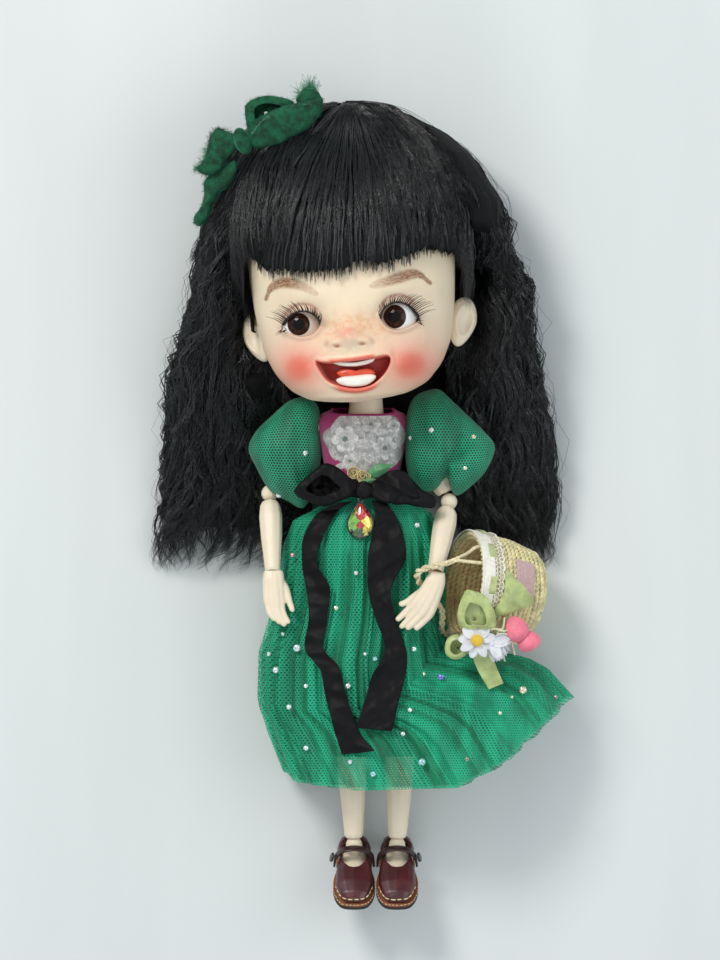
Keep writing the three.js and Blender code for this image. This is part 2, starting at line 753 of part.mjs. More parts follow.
for (const side of ["r", "l"]) {
  const peg = shoulderPeg(side);
  place(`shoulder_ball_${side}`, join(ball(shoulderAt(side), SHOULDER_BALL_RADIUS), peg), SKIN);
  place(`upper_arm_${side}`, upperArm(side), SKIN);
  place(`elbow_ball_${side}`, ball(ARMS[side].elbow, ELBOW_BALL_RADIUS), SKIN);
  place(`forearm_${side}`, forearm(side), SKIN);
  place(`hand_${side}`, hand(side), SKIN);
  place(`hip_ball_${side}`, ball(hipAt(side), HIP_BALL_RADIUS), SKIN);
  place(`thigh_${side}`, thigh(side), SKIN);
  place(`knee_ball_${side}`, ball(LEGS[side].knee, KNEE_BALL_RADIUS), SKIN);
  place(`shin_${side}`, shin(side), SKIN);
}

// Feet and shoes, each pair in a group at its ankle

function footShape(grow = 0) {
  const rows = [
    [-7.2, -6.4, 2.4, 1.8],
    [-4, -5.9, 4.2, 2.5],
    [2, -5.8, 4.8, 2.6],
    [8, -6.4, 5.4, 2],
    [14, -6.8, 5.4, 1.6],
    [18.5, -7.2, 3.5, 1.1],
  ];
  const last = rows.length - 1;
  const body = rows.map(([y, z, halfWidth, halfHeight], i) => {
    const shift = i === 0 ? -grow : i === last ? grow : 0;
    const centre = vec(0, y + shift, z);
    return roundRing(centre, vec(1, 0, 0), vec(0, 0, 1), halfWidth + grow, halfHeight + grow, 10);
  });
  return loft(body);
}

function foot() {
  const column = rod(vec(0, -0.5, -6), vec(0, 0, -1), ANKLE_BALL_RADIUS - 0.3, 10);
  return join(footShape(), column, ball(vec(0, 0, 0), ANKLE_BALL_RADIUS));
}

const SHOE_FLOOR_Z = SOLE_THICKNESS - SOLE_DROP;

function shoeShape(grow = 0) {
  const rows = [
    [-SHOE_HEEL_REACH, -6.4, 3.2, 2.4],
    [-7.6, -5.4, 5, 3.6],
    [-3, -4.4, 6, 4.6],
    [3, -4.8, SHOE_HALF_WIDTH - 1, 4.4],
    [9, -5.6, SHOE_HALF_WIDTH - 0.1, 3.6],
    [15, -6.2, SHOE_HALF_WIDTH, 3],
    [19.6, -6.8, SHOE_HALF_WIDTH - 1.6, 2.2],
    [SHOE_TOE_REACH, -7.4, 3.2, 1.3],
  ];
  const rings = rows.map(([y, z, halfWidth, halfHeight]) =>
    roundRing(vec(0, y, z), vec(1, 0, 0), vec(0, 0, 1), halfWidth + grow, halfHeight + grow, 12, 2.3),
  );
  return loft(rings);
}

function shoeUpper() {
  const aboveSole = block(vec(-12, -20, SHOE_FLOOR_Z + GAP), vec(12, 30, 10));
  const opening = roundRing(vec(0, 1.4, -5.5), vec(1, 0, 0), vec(0, 1, 0), 4.9, 8, 16);
  const way = loft([opening, opening.map((p) => along(p, vec(0, 0, 1), 16))]);
  return largest(cut(common(shoeShape(), aboveSole), footShape(GAP), way));
}

function shoeSole() {
  const reach = WELT_WIDTH;
  const outline = (z) =>
    [
      [-SHOE_HEEL_REACH - reach, 2.6],
      [-SHOE_HEEL_REACH + 1.6, 5.2],
      [-3, 6 + reach * 0.6],
      [3, SHOE_HALF_WIDTH - 1 + reach * 0.7],
      [9, SHOE_HALF_WIDTH + reach],
      [15, SHOE_HALF_WIDTH + reach],
      [19.8, SHOE_HALF_WIDTH - 1.4 + reach],
      [SHOE_TOE_REACH + reach, 3.4],
    ].flatMap(([y, halfWidth], i, all) => {
      all.push([y, -halfWidth]);
      return i < 8 ? [vec(halfWidth, y, z)] : [];
    });
  const right = outline(0);
  const ring = [...right, ...right.toReversed().map((p) => vec(-p.x, p.y, 0))];
  return loft([-SOLE_DROP, SHOE_FLOOR_Z].map((z) => ring.map((p) => vec(p.x, p.y, z))));
}

function shoeStrap() {
  const arch = [
    [-6.7, 3.4, -5.2],
    [-6.1, 3.6, -2],
    [-3.6, 4, 0.9],
    [0, 4.1, 1.7],
    [3.6, 4, 0.9],
    [6.1, 3.6, -2],
    [6.7, 3.4, -5.2],
  ];
  const stations = arch.map(([x, y, z]) => [vec(x, y, z), vec(0, 1, 0), STRAP_WIDTH]);
  return largest(cut(ribbon(stations, STRAP_THICKNESS), shoeShape(GAP)));
}

function shoeButton(side) {
  const outer = mirrored(side, -1);
  const seat = vec(outer * (6.6 + STRAP_THICKNESS / 2 + GAP), 3.5, -3.4);
  return rod(seat, along(seat, vec(outer, 0, 0.25).normalize(), BUTTON_THICKNESS), BUTTON_RADIUS, 12);
}

for (const side of ["r", "l"]) {
  const shoe = new THREE.Group();
  const toes = vec(0, -Math.cos(TOE_LIFT), Math.sin(TOE_LIFT));
  const rise = vec(0, Math.sin(TOE_LIFT), Math.cos(TOE_LIFT));
  const frame = new THREE.Matrix4().makeBasis(vec(-1, 0, 0), toes, rise);
  shoe.position.copy(LEGS[side].ankle);
  shoe.setRotationFromMatrix(frame);
  doll.add(shoe);
  place(`foot_${side}`, foot(), SKIN, shoe);
  place(`shoe_upper_${side}`, shoeUpper(), LEATHER, shoe);
  place(`shoe_sole_${side}`, shoeSole(), SOLE, shoe);
  place(`shoe_strap_${side}`, shoeStrap(), LEATHER, shoe);
  place(`shoe_button_${side}`, shoeButton(side), LEATHER, shoe);
}

// Skirt: rows of [share of the way to the hem, right edge, left edge, edge height, top, bottom]

const SKIRT_ROWS = [
  [0, -15, 13.4, 26, 37.4, 14.6],
  [0.045, -15, 14, 26, 37.4, 14.6],
  [0.109, -27.6, 22, 22, 38.6, 10],
  [0.198, -31, 25, 17, 40, 4],
  [0.33, -33, 27, 15, 40.2, 0],
  [0.45, -36, 27.5, 14, 40.8, -2],
  [0.577, -40, 26, 13, 41.6, -2.5],
  [0.74, -40.5, 24.4, 9, 43, -2.5],
  [0.85, -37, 47, 7, 45, -2.5],
  [1, -31.5, 73.5, 8, 47, -2.5],
];
const SKIRT_POWER = 2.4;
const LINING_ROOM = 0.75;
const HEM_LINE = [
  [-1, -47],
  [-0.9, -51],
  [-0.5, -54],
  [0.2, -53],
  [0.5, -45],
  [0.8, -31],
  [1, -20],
];

// A point of the skirt. The angle starts at the doll's left and passes over the front. The
// wave is 1 on the crest of a fold and -1 in its valley. The inset runs inwards from there,
// and the bottom lies flat on the floor.
function skirtPoint(angle, share, inset, wave) {
  const [right, left, edge, top, bottom] = [1, 2, 3, 4, 5].map((column) =>
    reading(SKIRT_ROWS, share, column),
  );
  const c = Math.cos(angle);
  const s = Math.sign(Math.sin(angle)) * (1 - Math.abs(c) ** SKIRT_POWER) ** (1 / SKIRT_POWER);
  const half = (left - right) / 2;
  const rise = s > 0 ? top - edge : edge - bottom;
  const depth = FOLD_DEPTH * THREE.MathUtils.clamp((share - 0.04) * 1.2, 0, 1);
  const outwards = vec(c / half, 0, s / rise).normalize();
  const push = depth * (wave - 1) - inset;
  const x = (left + right) / 2 + half * c + push * outwards.x;
  const z = Math.max(inset, edge + rise * s + push * outwards.z);
  const y = THREE.MathUtils.lerp(SKIRT_TOP_Y, reading(HEM_LINE, c), share);
  return vec(x, y, z);
}

function skirtSheet(shares, points, outer, inner, waveAt) {
  const ring = (share, inset) =>
    Array.from({ length: points }, (_, j) => {
      const angle = (j / points) * 2 * Math.PI;
      return skirtPoint(angle, share, inset, waveAt(angle));
    });
  const outside = shares.map((share) => ring(share, outer));
  const inside = shares.toReversed().map((share) => ring(share, inner));
  return hoop([...outside, ...inside]);
}

// The outer shape without its hollow, for what must stay clear of it
function skirtBulk(grow) {
  const rings = SKIRT_ROWS.map(([share]) =>
    Array.from({ length: 32 }, (_, j) => {
      const point = skirtPoint((j / 32) * 2 * Math.PI, share, -grow, 1);
      if (share === 0) point.y += grow;
      return point;
    }),
  );
  return loft(rings);
}

// Height of the skirt's front under a place seen from above
function skirtHeight(x, y) {
  let nearest = { distance: Infinity };
  for (let i = 0; i <= 60; i++)
    for (let j = 1; j < 60; j++) {
      const point = skirtPoint((j / 60) * Math.PI, i / 60, 0, 1);
      const distance = Math.hypot(point.x - x, point.y - y);
      if (distance < nearest.distance) nearest = { distance, height: point.z };
    }
  return nearest.height;
}

const shares = SKIRT_ROWS.map(([share]) => share);
const liningShares = [...shares.filter((share) => share < LINING_SHARE), LINING_SHARE];
const folds = (angle) => Math.cos(FOLD_COUNT * angle);
const valleys = () => -1;
const liningInset = CLOTH + LINING_ROOM;
const lining = skirtSheet(liningShares, 21, liningInset, liningInset + CLOTH, valleys);
place("tulle_skirt", skirtSheet(shares, 3 * FOLD_COUNT, 0, CLOTH, folds), TULLE);
place("skirt_lining", lining, LINING);

// Bodice, sash and sleeves

function bodice() {
  const shell = cut(torsoShape(GAP + CLOTH), torsoShape(GAP));
  const span = block(vec(-40, BODICE_HEM_Y, 0), vec(40, CHEST_TOP_Y - 0.3, 60));
  const armholes = ["r", "l"].map((side) => {
    const centre = shoulderAt(side);
    const outwards = vec(mirrored(side, 1), 0, 0);
    return rod(along(centre, outwards, -9), along(centre, outwards, 12), SHOULDER_BALL_RADIUS + 1.4);
  });
  return largest(cut(common(shell, span), ...armholes));
}

const SASH_Y = WAIST_Y + 0.3;
const SASH_HALF_WIDTH = 15.3;
const SASH_HALF_DEPTH = 11.9;

function sash() {
  const band = (grow, reach) =>
    upright(
      [-1, 1].map((end) => [
        WAIST_X,
        SASH_Y + (end * SASH_WIDTH) / 2 + end * reach,
        BODY_Z,
        SASH_HALF_WIDTH + grow,
        SASH_HALF_DEPTH + grow,
      ]),
      20,
      SKIRT_POWER,
    );
  return cut(band(SASH_THICKNESS, 0), band(0, 1));
}

// The sash without its hollow, for what must stay clear of it
function sashBand(grow) {
  const reach = SASH_WIDTH / 2 + grow;
  const row = (y) => [
    WAIST_X,
    y,
    BODY_Z,
    SASH_HALF_WIDTH + SASH_THICKNESS + grow,
    SASH_HALF_DEPTH + SASH_THICKNESS + grow,
  ];
  return upright([row(SASH_Y - reach), row(SASH_Y + reach)], 20, SKIRT_POWER);
}

const BOW_Z = BODY_Z + SASH_HALF_DEPTH + SASH_THICKNESS + GAP + 2.6;
const bowKnot = vec(-2.4, SASH_Y - 0.4, BOW_Z);

// Two loops drawn in at the knot
function sashBow(grow = 0) {
  const loop = (tip, halfWidth) => {
    const way = vec().subVectors(tip, bowKnot);
    const rows = [
      [0, 2.2, 2],
      [0.18, 3.4, 2.2],
      [0.5, halfWidth, 2.5],
      [0.82, halfWidth * 0.86, 2.4],
      [1, halfWidth * 0.42, 1.4],
    ];
    return limb(
      rows.map(([share, wide, deep]) => [along(bowKnot, way, share), wide + grow, deep + grow]),
      vec(0, 1, 0),
      10,
    );
  };
  const right = loop(vec(-27, 55.2, BOW_Z), 7.4);
  const left = loop(vec(24, 54.4, BOW_Z), 7);
  return join(right, left, ellipsoid(bowKnot, 3 + grow, 2.8 + grow, 2.6 + grow));
}

// A tail lies on the skirt: rows of [x, y, width]
const TAILS = {
  r: [
    [-8.6, 49.4, 7],
    [-15.4, 45.4, 8],
    [-20.4, 36.5, 7.5],
    [-21.6, 27, 6],
    [-18.3, 18.2, 8],
    [-18.6, 8, 7],
    [-20, -3, 6.4],
    [-14.6, -10, 7],
    [-12.2, -20, 7],
    [-8.6, -32, 7],
    [-4.2, -40, 8],
  ],
  l: [
    [3.8, 49.2, 5],
    [6.4, 41.9, 9],
    [5.8, 30, 13],
    [3.4, 18.3, 8.6],
    [6, 8, 7.6],
    [9.2, -4, 8.6],
    [6, -14, 12],
    [3.4, -24, 12],
    [1.2, -31, 11],
  ],
};

function sashTail(side) {
  const stations = TAILS[side].map(([x, y, width]) => {
    const heights = [-0.5, 0, 0.5].map((share) => skirtHeight(x + share * width, y));
    const z = Math.max(...heights) + GAP + TAIL_THICKNESS / 2 + 0.3;
    return [vec(x, y, z), vec(1, 0, 0), width];
  });
  return largest(cut(ribbon(stations, TAIL_THICKNESS), skirtBulk(GAP), sashBow(GAP)));
}

function pendant() {
  const top = vec(-3.6, 49, 0);
  const height = skirtHeight(top.x, top.y - PENDANT_LENGTH / 2);
  const rows = [
    [0, 0.6, 0.8],
    [0.3, PENDANT_HALF_WIDTH * 0.62, 1.5],
    [0.64, PENDANT_HALF_WIDTH, 1.9],
    [0.9, PENDANT_HALF_WIDTH * 0.62, 1.5],
    [1, PENDANT_HALF_WIDTH * 0.3, 0.9],
  ];
  const stations = rows.map(([share, wide, deep]) => [
    vec(top.x, top.y - share * PENDANT_LENGTH, height + GAP + 2.1),
    wide,
    deep,
  ]);
  return largest(cut(limb(stations, vec(1, 0, 0), 10), skirtBulk(GAP), sashBow(GAP)));
}

// Two rolled roses and a satin leaf above the knot
function roses() {
  const z = BODY_Z + CHEST_HALF_DEPTH + ROSE_RADIUS + 0.9;
  const first = ellipsoid(vec(-5.9, 60.6, z), ROSE_RADIUS, ROSE_RADIUS, ROSE_RADIUS);
  const second = ellipsoid(vec(-2.6, 59.6, z), ROSE_RADIUS, ROSE_RADIUS, ROSE_RADIUS);
  const leaf = ellipsoid(vec(2.4, 60, z - 0.6), 5, 2.1, 1.1);
  return largest(cut(join(first, second, leaf), sashBow(GAP), torsoShape(CLOTH + 2 * GAP)));
}

place("bodice", bodice(), COTTON);
place("sash", sash(), RIBBON);
place("sash_bow", sashBow(), RIBBON);
place("sash_tail_r", sashTail("r"), RIBBON);
place("sash_tail_l", sashTail("l"), RIBBON);
place("pendant", pendant(), CRYSTAL);
place("sash_roses", roses(), SILK);

// A puff gathered at both ends round the arm: rows of [share, half-width, half-depth]
const PUFFS = {
  r: { top: vec(-21.5, 85.5, 27), end: vec(-32.5, 49.5, 24), wide: 13.2 },
  l: { top: vec(19.5, 87.5, 28), end: vec(30.5, 53.5, 27), wide: 13.6 },
};
const PUFF_ROWS = [
  [0, 0.42, 0.42],
  [0.1, 0.72, 0.72],
  [0.3, 0.96, 1],
  [0.5, 1, 1.06],
  [0.7, 0.97, 1],
  [0.88, 0.76, 0.78],
  [1, 0.48, 0.46],
];

function puff(side, grow = 0) {
  const { top, end, wide } = PUFFS[side];
  const way = vec().subVectors(end, top);
  const stations = PUFF_ROWS.map(([share, across, deep]) => {
    const reach = share === 0 ? -grow : share === 1 ? grow : 0;
    const centre = along(along(top, way, share), way.clone().normalize(), reach);
    return [centre, across * wide + grow, deep * wide + grow];
  });
  const rings = spineRings(stations, vec(1, 0, 0), 2 * GATHER_COUNT, 2);
  if (grow) return loft(rings);
  const gathered = rings.map((ring, i) =>
    ring.map((p, j) => p.clone().lerp(stations[i][0], j % 2 ? 0.07 : 0)),
  );
  return loft(gathered);
}

function sleeve(side) {
  const clear = [
    upperArm(side, GAP),
    forearm(side, GAP),
    ball(shoulderAt(side), SHOULDER_BALL_RADIUS + GAP),
    ball(ARMS[side].elbow, ELBOW_BALL_RADIUS + GAP),
    torsoShape(CLOTH + 2 * GAP),
    outOfHead(headShape(GAP)),
    skirtBulk(GAP),
    sashBow(GAP),
    sashBand(GAP),
  ];
  return largest(cut(puff(side), ...clear));
}

for (const side of ["r", "l"]) place(`sleeve_${side}`, sleeve(side), TULLE);

// Loose hair: rows of [y, inner edge, outer edge, top], lying on the floor

const LOCKS = {
  r: [
    [184, -12, -26, 42],
    [175, -15, -37, 46],
    [158, -20, -50, 46],
    [143, -24, -60, 42],
    [121, -30, -64, 36],
    [97, -33, -71, 28],
    [66, -29, -74, 14],
    [47, -21, -75.5, 12],
    [33, -24, -78.5, 9],
    [24, -38, -72, 5],
  ],
  l: [
    [184, 4, 25, 42],
    [175, 10, 36.5, 46],
    [158, 14, 48, 46],
    [136, 20, 52, 42],
    [121, 26, 57.5, 36],
    [97, 29, 60, 28],
    [78, 28, 65, 20],
    [54, 26, 67.5, 14],
    [36, 34, 66, 8],
    [25, 44, 64.5, 4],
  ],
};
const BACK_HAIR = [
  [118, -29, 29, 5],
  [100, -30, 30, 9],
  [80, -28, 28, 12],
  [62, -24, 24, 12],
  [50, -20, 20, 8],
];

function lock(rows, grow = 0) {
  const last = rows.length - 1;
  const solid = upright(
    rows.map(([y, inner, outer, top], i) => {
      const reach = i === 0 ? grow : i === last ? -grow : 0;
      const halfWidth = Math.abs(outer - inner) / 2 + grow;
      return [(inner + outer) / 2, y + reach, top / 2 - 0.4, halfWidth, top / 2 + 0.4 + grow];
    }),
    12,
    2.4,
  );
  return solid;
}

const FLOOR_REACH = 250;
const FLOOR_DEPTH = 30;
const underFloor = block(
  vec(-FLOOR_REACH, -FLOOR_REACH, -FLOOR_DEPTH),
  vec(FLOOR_REACH, FLOOR_REACH, 0),
);

function hairClearances() {
  const pieces = [
    underFloor,
    outOfHead(hairDome(GAP)),
    outOfHead(headShape(GAP)),
    outOfHead(ear("r", GAP)),
    outOfHead(ear("l", GAP)),
    torsoShape(CLOTH + 2 * GAP),
    skirtBulk(GAP),
    sashBand(GAP),
    basketBulk(GAP),
  ];
  for (const side of ["r", "l"])
    pieces.push(
      puff(side, GAP),
      upperArm(side, GAP),
      forearm(side, GAP),
      ball(ARMS[side].elbow, ELBOW_BALL_RADIUS + GAP),
    );
  return pieces;
}

// Basket on its side, with its mouth turned up towards the wrist

const basketWay = vec(
  Math.cos(BASKET_TILT) * Math.cos(BASKET_TURN),
  Math.cos(BASKET_TILT) * Math.sin(BASKET_TURN),
  -Math.sin(BASKET_TILT),
);
const basketSide = vec(-Math.sin(BASKET_TURN), Math.cos(BASKET_TURN), 0);
const basketRise = vec().crossVectors(basketWay, basketSide);

function basketRing(depth, radius) {
  return roundRing(along(BASKET_MOUTH, basketWay, depth), basketSide, basketRise, radius, radius, 20);
}

const bulge = (BASKET_MOUTH_RADIUS + BASKET_BASE_RADIUS) / 2 + 1.2;

function basketBody() {
  return loft([
    basketRing(BASKET_DEPTH, BASKET_BASE_RADIUS - 1.5),
    basketRing(BASKET_DEPTH - 1.5, BASKET_BASE_RADIUS),
    basketRing(BASKET_DEPTH / 2, bulge),
    basketRing(0, BASKET_MOUTH_RADIUS),
    basketRing(0, BASKET_MOUTH_RADIUS - BASKET_WALL),
    basketRing(BASKET_DEPTH / 2, bulge - BASKET_WALL),
    basketRing(BASKET_DEPTH - BASKET_WALL, BASKET_BASE_RADIUS - BASKET_WALL),
  ]);
}

function basketBulk(grow) {
  return loft([
    basketRing(BASKET_DEPTH + grow, BASKET_BASE_RADIUS + grow),
    basketRing(BASKET_DEPTH / 2, bulge + grow),
    basketRing(-grow, BASKET_MOUTH_RADIUS + grow),
  ]);
}

function rimPoint(angle, proud) {
  const radius = BASKET_MOUTH_RADIUS - BASKET_WALL / 2;
  return along(
    along(along(BASKET_MOUTH, basketWay, -proud), basketSide, radius * Math.cos(angle)),
    basketRise,
    radius * Math.sin(angle),
  );
}

// The handle passes over the forearm and back under the hand: places from the wrist
const HANDLE_ROUTE = [
  [7.48, 5.34, 3.9],
  [0.48, 3.74, 4.5],
  [-4.92, 2.14, 2.5],
  [-6.02, -0.46, -1.3],
  [-3.42, -5.26, -5.1],
  [2.58, -11.86, -8.5],
];
const HANDLE_ENDS = [THREE.MathUtils.degToRad(62), THREE.MathUtils.degToRad(200)];
const HANDLE_SIDES = 7;

function basketHandle() {
  const seat = GAP + 0.1;
  const path = new THREE.CatmullRomCurve3([
    rimPoint(HANDLE_ENDS[0], seat),
    rimPoint(HANDLE_ENDS[0], seat + 2),
    ...HANDLE_ROUTE.map((offset) => vec(...offset).add(ARMS.l.wrist)),
    rimPoint(HANDLE_ENDS[1], seat + 3),
    rimPoint(HANDLE_ENDS[1], seat),
  ]);
  const section = new THREE.Shape(
    Array.from({ length: HANDLE_SIDES }, (_, j) => {
      const angle = (j / HANDLE_SIDES) * 2 * Math.PI;
      return new THREE.Vector2(HANDLE_RADIUS * Math.cos(angle), HANDLE_RADIUS * Math.sin(angle));
    }),
  );
  return new THREE.ExtrudeGeometry(section, { steps: 26, extrudePath: path, bevelEnabled: false });
}

// Satin bow with its flowers, tied to the rim. Each piece of it is placed from the knot.
const POSY_KNOT = vec(38.5, 5.5, 40.5);
const POSY_LOOP_HALF_DEPTH = 1.6;
const POSY_LOOPS = [
  { tip: [-3.5, 8.5, 2.5], halfWidth: 4.6 },
  { tip: [10.5, 11.5, -0.5], halfWidth: 5 },
  { tip: [-8.5, -7, -0.5], halfWidth: 4 },
];
const POSY_TAIL = [
  { at: [0, 0, 0], slant: 0, width: 6 },
  { at: [1.5, -9.5, -2.5], slant: 0.2, width: 6 },
  { at: [5, -20.5, -7], slant: 0.3, width: 8 },
];
const POSY_TAIL_THICKNESS = 1;
const DAISY = { at: [-0.2, -5.5, 3.5], halves: [6.6, 6.6, 1.6] };
const POSY_FLOWERS = [
  { at: [8, -9.5, 1], halves: [5, 4, 2.6] },
  { at: [13, -2, 0.5], halves: [4.6, 4.8, 4.4] },
  { at: [17.5, -6.5, -1.5], halves: [4.4, 4, 4] },
  { at: [6, -3.5, 0.5], halves: [8, 3, 2.4] },
];

function basketPosy() {
  const fromKnot = (offset) => vec(...offset).add(POSY_KNOT);
  const loops = POSY_LOOPS.map(({ tip, halfWidth }) => {
    const rows = [
      [0, POSY_LOOP_HALF_DEPTH],
      [0.5, halfWidth],
      [1, halfWidth * 0.5],
    ];
    const stations = rows.map(([share, wide]) => {
      return [along(POSY_KNOT, vec(...tip), share), wide, POSY_LOOP_HALF_DEPTH];
    });
    return limb(stations, vec(0.6, 0.8, 0), 7);
  });
  const tail = ribbon(
    POSY_TAIL.map(({ at, slant, width }) => [fromKnot(at), vec(1, slant, 0), width]),
    POSY_TAIL_THICKNESS,
  );
  const daisy = ellipsoid(fromKnot(DAISY.at), ...DAISY.halves, 8, 4);
  const flowers = POSY_FLOWERS.map(({ at, halves }) => ellipsoid(fromKnot(at), ...halves));
  return largest(cut(join(tail, ...loops, daisy, ...flowers), basketBulk(GAP)));
}

place("basket_body", basketBody(), WICKER);
place("basket_handle", basketHandle(), WICKER);
place("basket_posy", basketPosy(), SILK);

const hairClear = hairClearances();
place("hair_back", largest(cut(lock(BACK_HAIR), ...hairClear)), HAIR);
for (const side of ["r", "l"])
  place(`hair_${side}`, largest(cut(lock(LOCKS[side]), ...hairClear, lock(BACK_HAIR, GAP))), HAIR);

// Velvet bow pinned to the crown

// Each station of a loop or of the tail is placed from the knot
const velvetKnot = vec(-46, 179, 44);
const VELVET_LOOPS = [
  [
    { at: [0, 0, 0], halves: [2.6, 2.4] },
    { at: [6, 2, 2], halves: [5, 3] },
    { at: [16, 6, 6], halves: [8, 3.6] },
    { at: [27, 10.5, 6], halves: [6.5, 2] },
  ],
  [
    { at: [0, 0, 0], halves: [2.6, 2.4] },
    { at: [-5, -1, -2], halves: [5, 3] },
    { at: [-12, -7, -8], halves: [7, 3.4] },
    { at: [-14.5, -15, -13], halves: [4, 1.8] },
  ],
];
const VELVET_TAIL = [
  { at: [0, 0, 0], slant: 0.4, width: 4 },
  { at: [-8, -11, -8], slant: 0.2, width: 8 },
  { at: [-14, -30, -16], slant: 0, width: 6 },
];
const VELVET_THICKNESS = 1.4;

function velvetBow() {
  const fromKnot = (offset) => vec(...offset).add(velvetKnot);
  const loops = VELVET_LOOPS.map((stations) =>
    limb(stations.map(({ at, halves }) => [fromKnot(at), ...halves]), vec(0.35, -0.9, 0), 8),
  );
  const tail = ribbon(
    VELVET_TAIL.map(({ at, slant, width }) => [fromKnot(at), vec(1, slant, 0), width]),
    VELVET_THICKNESS,
  );
  const clear = [outOfHead(hairDome(GAP)), lock(LOCKS.r, GAP), velvetBand(GAP)];
  return largest(cut(join(tail, ...loops), ...clear));
}

const VELVET_BAND = { halfLength: 2.4, outer: 4.6, inner: 3.6 };

// A band of velvet wrapped round the middle of the bow
function velvetBand(grow = 0) {
  const across = vec(0.9, 0.36, 0.25).normalize();
  const upwards = vec().crossVectors(across, vec(0, 0, 1)).normalize();
  const outwards = vec().crossVectors(upwards, across).normalize();
  const ring = (reach, half) =>
    roundRing(along(velvetKnot, across, reach), upwards, outwards, half, half, 10);
  const [reach, outer, inner] = [
    VELVET_BAND.halfLength + grow,
    VELVET_BAND.outer + grow,
    VELVET_BAND.inner - grow,
  ];
  const band = hoop([ring(-reach, outer), ring(reach, outer), ring(reach, inner), ring(-reach, inner)]);
  if (grow) return band;
  return largest(cut(band, outOfHead(hairDome(GAP)), lock(LOCKS.r, GAP)));
}

place("hair_bow", velvetBow(), VELVET);
place("hair_bow_knot", velvetBand(), VELVET);

export default doll;
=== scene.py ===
import math

import bmesh
import bpy
import numpy as np
from mathutils import Matrix, Vector
from mathutils.bvhtree import BVHTree


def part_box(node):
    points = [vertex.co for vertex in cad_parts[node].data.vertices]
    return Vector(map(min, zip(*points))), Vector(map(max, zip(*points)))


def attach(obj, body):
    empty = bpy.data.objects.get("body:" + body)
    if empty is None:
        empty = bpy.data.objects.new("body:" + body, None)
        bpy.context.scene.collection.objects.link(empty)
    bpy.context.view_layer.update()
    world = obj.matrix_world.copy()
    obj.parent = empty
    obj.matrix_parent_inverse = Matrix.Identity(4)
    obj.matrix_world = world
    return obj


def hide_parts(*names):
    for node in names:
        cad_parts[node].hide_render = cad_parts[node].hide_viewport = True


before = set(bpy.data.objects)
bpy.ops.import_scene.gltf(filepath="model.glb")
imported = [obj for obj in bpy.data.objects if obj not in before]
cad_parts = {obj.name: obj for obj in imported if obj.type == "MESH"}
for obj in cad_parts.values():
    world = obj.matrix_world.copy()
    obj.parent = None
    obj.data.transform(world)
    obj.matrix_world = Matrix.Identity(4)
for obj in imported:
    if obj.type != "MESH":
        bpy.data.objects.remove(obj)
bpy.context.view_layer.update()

MM = 0.001
PIXEL = 0.358
ORIGIN_U, ORIGIN_V = 370, 640
RNG = np.random.default_rng(7)
LAP = 6.28  # a full turn, for the phases of waves


# Places in millimetres in the part's frame, from photo pixels

def spot(u, v, z=0.0):
    return np.array([(u - ORIGIN_U) * PIXEL, (ORIGIN_V - v) * PIXEL, z])


def spots(rows):
    return np.array([spot(*row) for row in rows])


def lifted(uv, z):
    return np.stack([(uv[:, 0] - ORIGIN_U) * PIXEL, (ORIGIN_V - uv[:, 1]) * PIXEL, z], -1)


def as_pixels(points):
    return np.stack([points[..., 0] / PIXEL + ORIGIN_U, ORIGIN_V - points[..., 1] / PIXEL], -1)


def around(count):
    return np.linspace(0, 2 * math.pi, count, endpoint=False)


def unit(v):
    v = np.asarray(v, float)
    return v / np.maximum(np.linalg.norm(v, axis=-1, keepdims=True), 1e-9)


def smoothstep(low, high, x):
    t = np.clip((x - low) / (high - low), 0, 1)
    return t * t * (3 - 2 * t)


# A smooth curve through points, sampled evenly in its parameter
def curve(points, count, closed=False):
    p = np.asarray(points, float)
    n = len(p)
    t = np.linspace(0, n if closed else n - 1, count, endpoint=not closed)
    i = np.minimum(t.astype(int), n - 1 if closed else n - 2)
    f = (t - i)[:, None]
    pick = (lambda k: p[k % n]) if closed else (lambda k: p[np.clip(k, 0, n - 1)])
    a, b, c, d = pick(i - 1), pick(i), pick(i + 1), pick(i + 2)
    return 0.5 * (2 * b + (c - a) * f + (2 * a - 5 * b + 4 * c - d) * f**2 + (3 * b - a - 3 * c + d) * f**3)


def signed_distance(points, outline):
    a = np.asarray(outline, float)
    nearest = np.full(len(points), 1e18)
    inside = np.zeros(len(points), bool)
    x, y = points[:, 0], points[:, 1]
    for p, q in zip(a, np.roll(a, -1, axis=0)):
        e = q - p
        w = points - p
        t = np.clip((w @ e) / max(e @ e, 1e-12), 0, 1)
        nearest = np.minimum(nearest, ((w - np.outer(t, e)) ** 2).sum(1))
        level = (p[1] > y) != (q[1] > y)
        inside ^= level & (x < (q[0] - p[0]) * (y - p[1]) / (q[1] - p[1] + 1e-12) + p[0])
    return np.where(inside, -1, 1) * np.sqrt(nearest)


# Distance to an open line, and how far along it the nearest point is
def line_distance(points, line):
    a = np.asarray(line, float)
    best = np.full(len(points), 1e18)
    share = np.zeros(len(points))
    for k, (p, q) in enumerate(zip(a[:-1], a[1:])):
        e = q - p
        w = points - p
        t = np.clip((w @ e) / max(e @ e, 1e-12), 0, 1)
        d = ((w - np.outer(t, e)) ** 2).sum(1)
        closer = d < best
        best = np.where(closer, d, best)
        share = np.where(closer, (k + t) / (len(a) - 1), share)
    return np.sqrt(best), share


# Meshes

